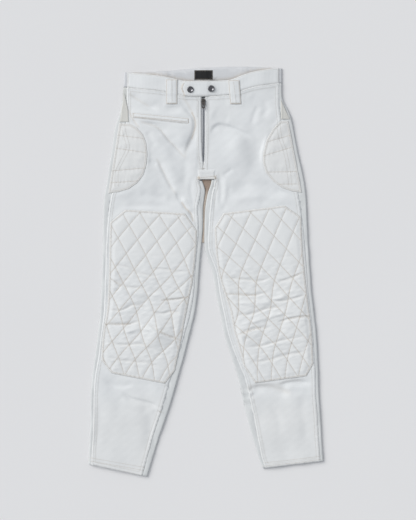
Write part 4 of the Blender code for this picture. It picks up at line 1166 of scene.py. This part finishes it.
# %% Cut the small pieces
# name, node, material, step, wall, relief, rests on
SMALL_PIECES = (
    (
        "front_band_right", "waistband_front_right", drill, 2, 2.2,
        turned_relief(0.35, 40, 71, BAND_ROWS, 0.04), "front_panel_right",
    ),
    ("front_band_left", "waistband_front_left", drill, 2, 2.2, tab_relief, "front_panel_left"),
    *(
        (
            f"front_loop_{side}", f"belt_loop_front_{side}", drill, 1.4, 1.5,
            turned_relief(0.15, 18, seed, LOOP_ROWS, 0.35), f"front_band_{side}",
        )
        for side, seed in (("right", 75), ("left", 77))
    ),
    *(
        (
            f"back_loop_{k}", f"belt_loop_back_{k}", drill, 1.6, 1, flat_relief(0, 20, 1),
            "waistband_inside",
        )
        for k in (1, 2, 3)
    ),
    ("welt", "welt_pocket", drill, 1.3, 1.2, welt_relief, "front_panel_right"),
    ("bridge", "crotch_bridge", drill, 1.4, 1.4, bridge_relief, "front_panel_left"),
    ("gusset", "crotch_gusset", tan_and_shade_cloth, 1.6, 1.1, gusset_relief, "back_panel_right"),
    ("neck_label", "label", black, 1.2, 0.5, flat_relief(0.06, 14, 83, 0.6), "waistband_inside"),
    ("rib_right", "side_rib_right", knit, 0.8, 1.2, rib_relief, "front_panel_right"),
    ("rib_left", "side_rib_left", knit, 0.8, 1.2, rib_relief, "front_panel_left"),
    ("fly_tape", "zip_tape", tape_cloth, 1.2, 0.7, flat_relief(0, 20, 85, 0), "front_panel_right"),
)
SMALL_DIP = 0.6
SMALL_CUT = {}
for name, node, surface, step, wall, relief, rests_on in SMALL_PIECES:
    SMALL_CUT[name] = lay_piece(
        name, node, surface, step, wall, relief, 4,
        edge_dip=EDGE_DIP if "band" in name else SMALL_DIP,
    )

# %% [markdown]
# ## Sewing
#
# Thousands of stitches hold the pants together, and all are the same: a short bit of thread that dips
# into the cloth at both ends. Geometry Nodes turn each row into even points and put one stitch on
# each. Rows are drawn in plan and dropped onto the cloth, and stop where another piece covers them.

# %% Drop a row onto a piece
ALL_POINTS, ALL_FACES, OWNER = [], [], []
for name, (points, triangles) in SHELL.items():
    ALL_FACES.append(triangles + sum(len(p) for p in ALL_POINTS))
    ALL_POINTS.append(points)
    OWNER += [name] * len(triangles)
CLOTH = BVHTree.FromPolygons(np.vstack(ALL_POINTS).tolist(), np.vstack(ALL_FACES).tolist())
THREAD = 0.32
THREAD_SINK = 0.08


def drop(path, piece, step=2):
    """Runs of points on the piece's upper face, along a path in plan."""
    runs = [[]]
    for x, y in resample(path, step):
        place, _, face, _ = CLOTH.ray_cast((x, y, ABOVE), (0, 0, -1))
        if place is not None and OWNER[face].startswith(piece):
            runs[-1].append((x, y, place.z + THREAD - THREAD_SINK))
        else:
            runs.append([])
    return [run for run in runs if len(run) > 2]


def drop_on_both(path):
    """A row that crosses from the front panel to the back one."""
    return drop(path, "front_panel") + drop(path, "back_panel")


def inset(outline, distance):
    """The line that runs inside an outline at a distance."""
    ring = closed(outline)
    moved = outline - distance * outward_of(outline)
    gap = beside(moved[:, 0], moved[:, 1], ring)[0]
    kept = (gap > distance * 0.96) & inside(moved[:, 0], moved[:, 1], outline)
    return closed(moved[kept])


# %% Trees that set a form along rows
def row_tree(name, inputs, output):
    """A tree that is given rows, and its points along them, a pitch apart."""
    sockets = {"Rows": "Geometry", "Pitch": "Float", **inputs, "Surface": "Material"}
    tree, given, made = new_tree(name, sockets, {output: "Geometry"}, "GeometryNodeTree")
    rows = add(tree, "GeometryNodeMeshToCurve", {"Mesh": given["Rows"]}).outputs[0]
    values = {"Curve": rows, "Length": given["Pitch"]}
    return tree, given, made, add(tree, "GeometryNodeCurveToPoints", values, mode="LENGTH").outputs


def set_copies(tree, given, made, values, smooth):
    """Real, painted copies of a form, one on each point."""
    form = add(tree, "GeometryNodeInstanceOnPoints", values).outputs[0]
    form = add(tree, "GeometryNodeRealizeInstances", {"Geometry": form}).outputs[0]
    if smooth:
        form = add(tree, "GeometryNodeSetShadeSmooth", {"Geometry": form}).outputs[0]
    painted = add(tree, "GeometryNodeSetMaterial", {"Geometry": form, "Material": given["Surface"]})
    feed(tree, made, {0: painted.outputs[0]})
    return tree


# %% The stitch tree
def stitch_tree():
    inputs = {"Length": "Float", "Thread": "Float"}
    tree, given, made, points = row_tree("stitches", inputs, "Stitches")
    half = calculate(tree, "MULTIPLY", given["Length"], 0.5)
    thick = given["Thread"]
    size = add(tree, "ShaderNodeCombineXYZ", {"X": thick, "Y": thick, "Z": half}).outputs[0]
    ball = add(tree, "GeometryNodeMeshUVSphere", {"Segments": 6, "Rings": 4, "Radius": 1}).outputs["Mesh"]
    values = {title: points[title] for title in ("Points", "Rotation")}
    return set_copies(tree, given, made, {**values, "Instance": ball, "Scale": size}, True)


STITCHES = stitch_tree()


# %% Run a tree on rows of points
def grow(name, runs, tree, values):
    """A mesh object from a tree that takes rows of points in millimetres."""
    points, edges = [], []
    for run in runs:
        edges += [(len(points) + k, len(points) + k + 1) for k in range(len(run) - 1)]
        points += [tuple(v * MM for v in p) for p in run]
    mesh = bpy.data.meshes.new(name)
    mesh.from_pydata(points, edges, [])
    rows = to_scene(name + "_rows", mesh)
    grown = rows.modifiers.new("grow", "NODES")
    grown.node_group = tree
    for socket in tree.interface.items_tree:
        if socket.in_out == "INPUT" and socket.name in values:
            grown[socket.identifier] = values[socket.name]
    fine = bake(rows)
    piece = to_scene(name, fine)
    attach(piece, BODY)
    print(name, "rows:", len(runs), "faces:", len(fine.polygons))
    return piece


def thread(name, light, dark):
    """Two-ply thread, a little glossier than the cloth."""
    surface, tree, shader, place = new_material(name)
    tone = add(tree, "ShaderNodeGroup", {"Place": place}, node_tree=TONE).outputs
    ply = calculate(tree, "SINE", calculate(tree, "MULTIPLY", noise(tree, place, 900), 40))
    colour = mix_of(tree, tone["Specks"], dark, light)
    feed(tree, shader, {"Base Color": colour, "Roughness": 0.6, "Normal": bumped(tree, ply, 0.00008)})
    return surface


tan_thread = thread("tan_thread", (0.60, 0.53, 0.44), (0.48, 0.40, 0.32))
soft_thread = thread("soft_thread", (0.66, 0.62, 0.56), (0.57, 0.52, 0.46))
pale_thread = thread("pale_thread", (0.70, 0.69, 0.66), (0.63, 0.61, 0.57))
STITCH = {"Pitch": 0.0036, "Length": 0.0027, "Thread": THREAD * MM}


def sew(name, rows, surface, **other):
    grow(name, rows, STITCHES, {**STITCH, "Surface": surface, **other})



# %% Rows of the quilting
quilting = []
for side in SIDES:
    rows = KNEE_ROWS[side]
    height = rows[0][1] - rows[-1][1]
    rim = closed(KNEE_CUT[side])
    for offset, spacing, slant in KNEE_LINES[side]:
        for k in range(-12, 16):
            down = np.linspace(0, height, 160)
            across = offset + spacing * k + slant * down
            x0, y0, x1, y1 = knee_border(side, down / height)
            share = across / KNEE_WIDTH
            x, y = x0 + (x1 - x0) * share, y0 + (y1 - y0) * share
            kept = (share > 0) & (share < 1) & inside(x, y, KNEE_CUT[side])
            kept &= beside(x, y, rim)[0] > KNEE_HEM
            if kept.sum() > 4:
                quilting += drop(np.column_stack((x[kept], y[kept])), "knee_panel")
    for distance in (1.6, KNEE_HEM):
        quilting += drop(inset(KNEE_CUT[side], distance), "knee_panel")
    for start, end in KNEE_DARTS[side]:
        for shift in (-1.4, 1.4):
            quilting += drop(np.array((start, end)) + (0, shift), "knee_panel")
sew("quilting_thread", quilting, tan_thread)

# %% Rows round the hip pads, and the side seams across them
SIDE_SEAMS = {
    "right": ((-208, 376), (-203, 345), (-195, 309), (-210, 276), (-222, 249), (-223, 214)),
    "left": ((181, 372), (185, 337), (196, 305), (203, 276), (207, 249), (211, 214)),
}
padding = []
for side in SIDES:
    for distance in (1.8, 4.6):
        padding += drop(inset(HIP_CUT[side], distance), "hip_padding")
    for x0, y0, x1, y1 in HIP_SEAMS[side]:
        padding += drop(((x0, y0), (x1, y1)), "hip_padding")
    path = curve(np.array(SIDE_SEAMS[side], float), 6)
    for shift in (-4, 4):
        padding += drop(path + (shift, 0), "hip_padding")
sew("hip_thread", padding, soft_thread)

# %% Rows of the panels, the fly and the hems
sewing = []
for side in SIDES:
    outline = smooth_outline(outline_of("front_" + side), 3)
    for distance in (2, SEAM_LAP - 1):
        sewing += drop(inset(outline, distance), "front_panel")
# paths in plan: the fly's J, its other side, and a short bar below the right knee
PANEL_ROWS = (
    ((-19.5, 434), (-19.5, 340), (-19.5, 300), (-17.5, 282), (-12, 268), (-7, 261)),
    ((-22.5, 434), (-22.5, 340), (-22.5, 300), (-20.5, 280), (-14, 264), (-8, 257)),
    ((4.3, 434), (4.3, 300), (4.3, 255)),
    ((-118, -347), (-106, -352)), ((-118, -349), (-106, -354)),
)
for name in ("front_band_right", "front_band_left"):
    sewing += drop(inset(SMALL_CUT[name], 2.4), name)
for path in PANEL_ROWS:
    smooth_path = curve(np.array(path, float), 6)
    sewing += drop_on_both(smooth_path)
sew("panel_thread", sewing, pale_thread)
HEM_ROWS = (
    ((-294, -464), (-240, -473.5), (-154, -489)), ((-294, -472), (-240, -481.5), (-152, -497)),
    ((142, -478), (220, -469.5), (294, -460)), ((142, -486), (220, -477.5), (294, -468)),
)
hems = []
for path in HEM_ROWS:
    hems += drop_on_both(path)
sew("hem_thread", hems, tan_thread)

# %% Rows of the waistband and the small pieces
trim = []
TRIM_EDGES = (("front_loop_right", 1.8), ("front_loop_left", 1.8), ("welt", 1.8), ("neck_label", 1.6))
for name, distance in TRIM_EDGES:
    trim += drop(inset(SMALL_CUT[name], distance), name)
TRIM_ROWS = (
    ("welt", WELT_ROW),
    ("waistband_inside", ((-17, 509), (6, 509.4))),
    ("front_loop_right", ((-84.6, 477), (-84.2, 428))),
    ("front_loop_left", ((69.5, 472), (75.5, 420))),
    ("front_band_left", ((-55, 469.5), (-59, 455.6), (-51, 438))),
    ("bridge", ((-19, 234.5), (2, 236), (22, 238.5))),
    ("front_panel", ((-22, 236), (-20, 222), (-12, 208))),
    ("front_panel", ((26.5, 240), (27, 226), (21, 212))),
)
for name, path in TRIM_ROWS:
    trim += drop(path, name)
sew("trim_thread", trim, tan_thread)

# %% Bar tacks
tacks = []
# middle x and y, half length, turn in degrees, the piece
BAR_TACKS = (
    (-180.5, 391, 5, 90, "welt"), (-44.5, 376, 5, 90, "welt"), (-7.5, 257.5, 4, 0, "front_panel"),
    (-91, 421, 5, 0, "front_loop_right"), (-79, 421, 5, 0, "front_loop_right"),
    (69, 421, 5, 0, "front_loop_left"), (81, 421, 5, 0, "front_loop_left"),
    (-112, -350, 5, -20, "front_panel"),
)
for x, y, half, turn, name in BAR_TACKS:
    way = np.array((math.cos(math.radians(turn)), math.sin(math.radians(turn))))
    aside = np.array((-way[1], way[0]))
    for k in range(-4, 5):
        middle = np.array((x, y)) + way * half * k / 4
        tacks += drop((middle - aside * 0.8, middle + aside * 0.8), name, 0.7)
sew("bar_tacks", tacks, soft_thread, Pitch=0.0022, Length=0.0022, Thread=0.0003)

# %% [markdown]
# ## Metal
#
# The zip and the snaps are small, but they are the only hard and dark things here, so the eye goes to
# them first. The metals share one group for wear: a fine mottle that breaks up the gloss. The zip's
# teeth mesh in turn, so Geometry Nodes set bars along the chain and move every second one across.


# %% The wear group and the metals
def wear_group():
    outputs = {"Mottle": "Float", "Scratch": "Float"}
    group, given, made = new_tree("metal_wear", {"Place": "Vector"}, outputs)
    place = given["Place"]
    mottle = noise(group, place, 500, 4, 0.5)
    feed(group, made, {"Mottle": mottle, "Scratch": noise(group, place, 2400, 1)})
    return group


WEAR = wear_group()


def metal(name, light, dark, roughness, spread, bump_height):
    surface, tree, shader, place = new_material(name)
    wear = add(tree, "ShaderNodeGroup", {"Place": place}, node_tree=WEAR).outputs
    feed(tree, shader, {
        "Base Color": mix_of(tree, wear["Mottle"], dark, light),
        "Roughness": calculate(tree, "MULTIPLY_ADD", wear["Mottle"], spread, roughness),
        "Normal": bumped(tree, wear["Scratch"], bump_height),
        "Metallic": 1,
    })
    return surface


teeth_metal = metal("zip_teeth_metal", (0.42, 0.44, 0.48), (0.29, 0.31, 0.34), 0.28, 0.25, 0.00002)
slider_metal = metal("slider_metal", (0.20, 0.185, 0.17), (0.08, 0.075, 0.07), 0.2, 0.25, 0.00002)
snap_metal = metal("snap_metal", (0.20, 0.20, 0.21), (0.10, 0.10, 0.11), 0.12, 0.16, 0.00001)


# %% The zip's teeth
def teeth_tree():
    """Bars on the points of a row, which step aside to the left and to the right in turn."""
    inputs = {"Reach": "Float", "Size": "Vector"}
    tree, given, made, points = row_tree("zip_teeth", inputs, "Teeth")
    number = add(tree, "GeometryNodeInputIndex").outputs[0]
    side = calculate(tree, "SUBTRACT", calculate(tree, "MODULO", number, 2), 0.5)
    aside = calculate(tree, "MULTIPLY", side, given["Reach"])
    shift = add(tree, "ShaderNodeCombineXYZ", {"X": aside}).outputs[0]
    values = {"Geometry": points["Points"], "Offset": shift}
    moved = add(tree, "GeometryNodeSetPosition", values).outputs[0]
    tooth = add(tree, "GeometryNodeMeshCube", {"Size": given["Size"]}).outputs["Mesh"]
    return set_copies(tree, given, made, {"Points": moved, "Instance": tooth}, False)


low, high = (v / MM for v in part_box("zip_chain"))
middle_x = (low.x + high.x) / 2
CHAIN_POINTS = 60
TOOTH_SINK = 0.75
chain_y = np.linspace(high.y - 0.6, low.y + 0.6, CHAIN_POINTS)
chain_z = solid_heights("zip_chain", np.full(CHAIN_POINTS, middle_x + 0.3), chain_y)
chain = [(middle_x, y, z - TOOTH_SINK) for y, z in zip(chain_y, chain_z)]
teeth = grow(
    "zip_teeth", [chain], teeth_tree(),
    {"Pitch": 0.0011, "Reach": 0.0016, "Size": (0.0032, 0.0008, 0.0015), "Surface": teeth_metal},
)
softer = teeth.modifiers.new("soft_edges", "BEVEL")
softer.width = 0.00018
softer.segments = 1
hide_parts("zip_chain")


# %% [markdown]
# The slider and its tab keep the solids' shapes. A cast part has no sharp edge, so a copy of each solid
# gets a small bevel. The tab rides on its own body, because it turns.


# %% The slider and the pull tab
def cast(name, node, body, surface, bevel):
    shape = cage_of(node)
    bmesh.ops.dissolve_limit(shape, angle_limit=math.radians(2), verts=shape.verts, edges=shape.edges)
    mesh = mesh_from(name, shape)
    mesh.materials.append(surface)
    piece = to_scene(name, mesh)
    softer = piece.modifiers.new("soft_edges", "BEVEL")
    softer.width = bevel
    softer.segments = 3
    softer.limit_method = "ANGLE"
    softer.angle_limit = math.radians(35)
    mesh.shade_smooth()
    mesh.set_sharp_from_angle(angle=math.radians(50))
    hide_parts(node)
    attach(piece, body)
    return piece


cast("slider_body", "zip_slider", BODY, slider_metal, 0.0004)
cast("pull_tab", "zip_pull", "zip_tab", slider_metal, 0.00025)

# %% [markdown]
# A snap's cap is stamped from sheet: a shallow dish inside a rolled rim. It is a profile turned round its
# own middle. Screw or Spin would also turn it; a short loop gives closed poles with no merging.

# %% The snaps
# distance from the middle and height, in shares of the radius and of the height
CAP_PROFILE = (
    (0, 0.30), (0.18, 0.33), (0.34, 0.42), (0.48, 0.56), (0.58, 0.72), (0.66, 0.86), (0.74, 0.96),
    (0.81, 0.99), (0.88, 0.94), (0.94, 0.80), (0.98, 0.58), (1, 0.30), (0.98, 0.06), (0.94, 0),
    (0, 0),
)
CAP_SIDES = 48


def snap_cap(name, node):
    low, high = (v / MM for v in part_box(node))
    middle, radius, rise = (low + high) / 2, (high.x - low.x) / 2, high.z - low.z
    points, faces, rings = [], [], []
    for share, height in CAP_PROFILE:
        turns = 1 if share == 0 else CAP_SIDES
        rings.append([len(points) + k for k in range(turns)])
        for k in range(turns):
            angle = math.tau * k / CAP_SIDES
            x, y = radius * share * math.cos(angle), radius * share * math.sin(angle)
            points.append((middle.x + x, middle.y + y, low.z + rise * height))
    for upper, lower in zip(rings, rings[1:]):
        for k in range(CAP_SIDES):
            a, b = upper[k % len(upper)], upper[(k + 1) % len(upper)]
            c, d = lower[(k + 1) % len(lower)], lower[k % len(lower)]
            faces.append([v for n, v in enumerate((a, d, c, b)) if v not in (a, d, c, b)[:n]])
    piece = new_object(name, points, faces, snap_metal)
    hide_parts(node)
    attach(piece, BODY)
    return piece


for k in (1, 2):
    snap_cap(f"snap_cap_{k}", f"snap_{k}")

# %% [markdown]
# ## Floor, light and camera
#
# The pants lie on pale grey paper that is equally light everywhere. A sun lamp does that; an area lamp
# gets weaker with distance. Its wide angle makes the shadows soft, and it comes from the upper left,
# so every fold has a lit flank and a shaded one. A grey room fills the shadows. The camera looks
# straight down from far away through a long lens, so nothing is seen in perspective.

# %% The floor
FLOOR_HALF = 8
FLOOR_DROP = 0.0004
paper, tree, shader, place = new_material("grey_paper")
tint = mix_of(tree, noise(tree, place, 1.5), (0.735, 0.735, 0.745), (0.755, 0.755, 0.765))
feed(tree, shader, {"Base Color": tint, "Roughness": 0.95})
grid = bmesh.new()
bmesh.ops.create_grid(grid, x_segments=2, y_segments=2, size=FLOOR_HALF)
bmesh.ops.translate(grid, verts=grid.verts, vec=(0, 0, -FLOOR_DROP))
floor = to_scene("floor_paper", mesh_from("floor_paper", grid))
floor.data.materials.append(paper)


# %% The lamp and the room
SUN_WAY = Vector((0.80, -0.50, -0.66))
SUN_STRENGTH = 2.40
ROOM_COLOUR = (0.93, 0.96, 1, 1)
ROOM_STRENGTH = 0.56
key = bpy.data.lights.new("window", "SUN")
key.energy = SUN_STRENGTH
key.angle = math.radians(42)
key.color = (1, 0.985, 0.96)
to_scene("window", key).rotation_euler = SUN_WAY.to_track_quat("-Z", "Y").to_euler()
world = bpy.data.worlds.new("studio")
world.use_nodes = True
background = world.node_tree.nodes["Background"].inputs
background["Color"].default_value = ROOM_COLOUR
background["Strength"].default_value = ROOM_STRENGTH
bpy.context.scene.world = world
bpy.context.scene.view_settings.view_transform = "Standard"

# %% The camera
VIEW_HEIGHT = 1.3
CAMERA_AWAY = 6
# the middle of the photograph, from the middle of the pants
CAMERA_X, CAMERA_Y = 0.0055, 0.0289
lens = bpy.data.cameras.new("overhead")
lens.sensor_width = 36
lens.lens = lens.sensor_width * CAMERA_AWAY / VIEW_HEIGHT
camera = to_scene("overhead", lens)
camera.location = (CAMERA_X, CAMERA_Y, CAMERA_AWAY)
bpy.context.scene.camera = camera
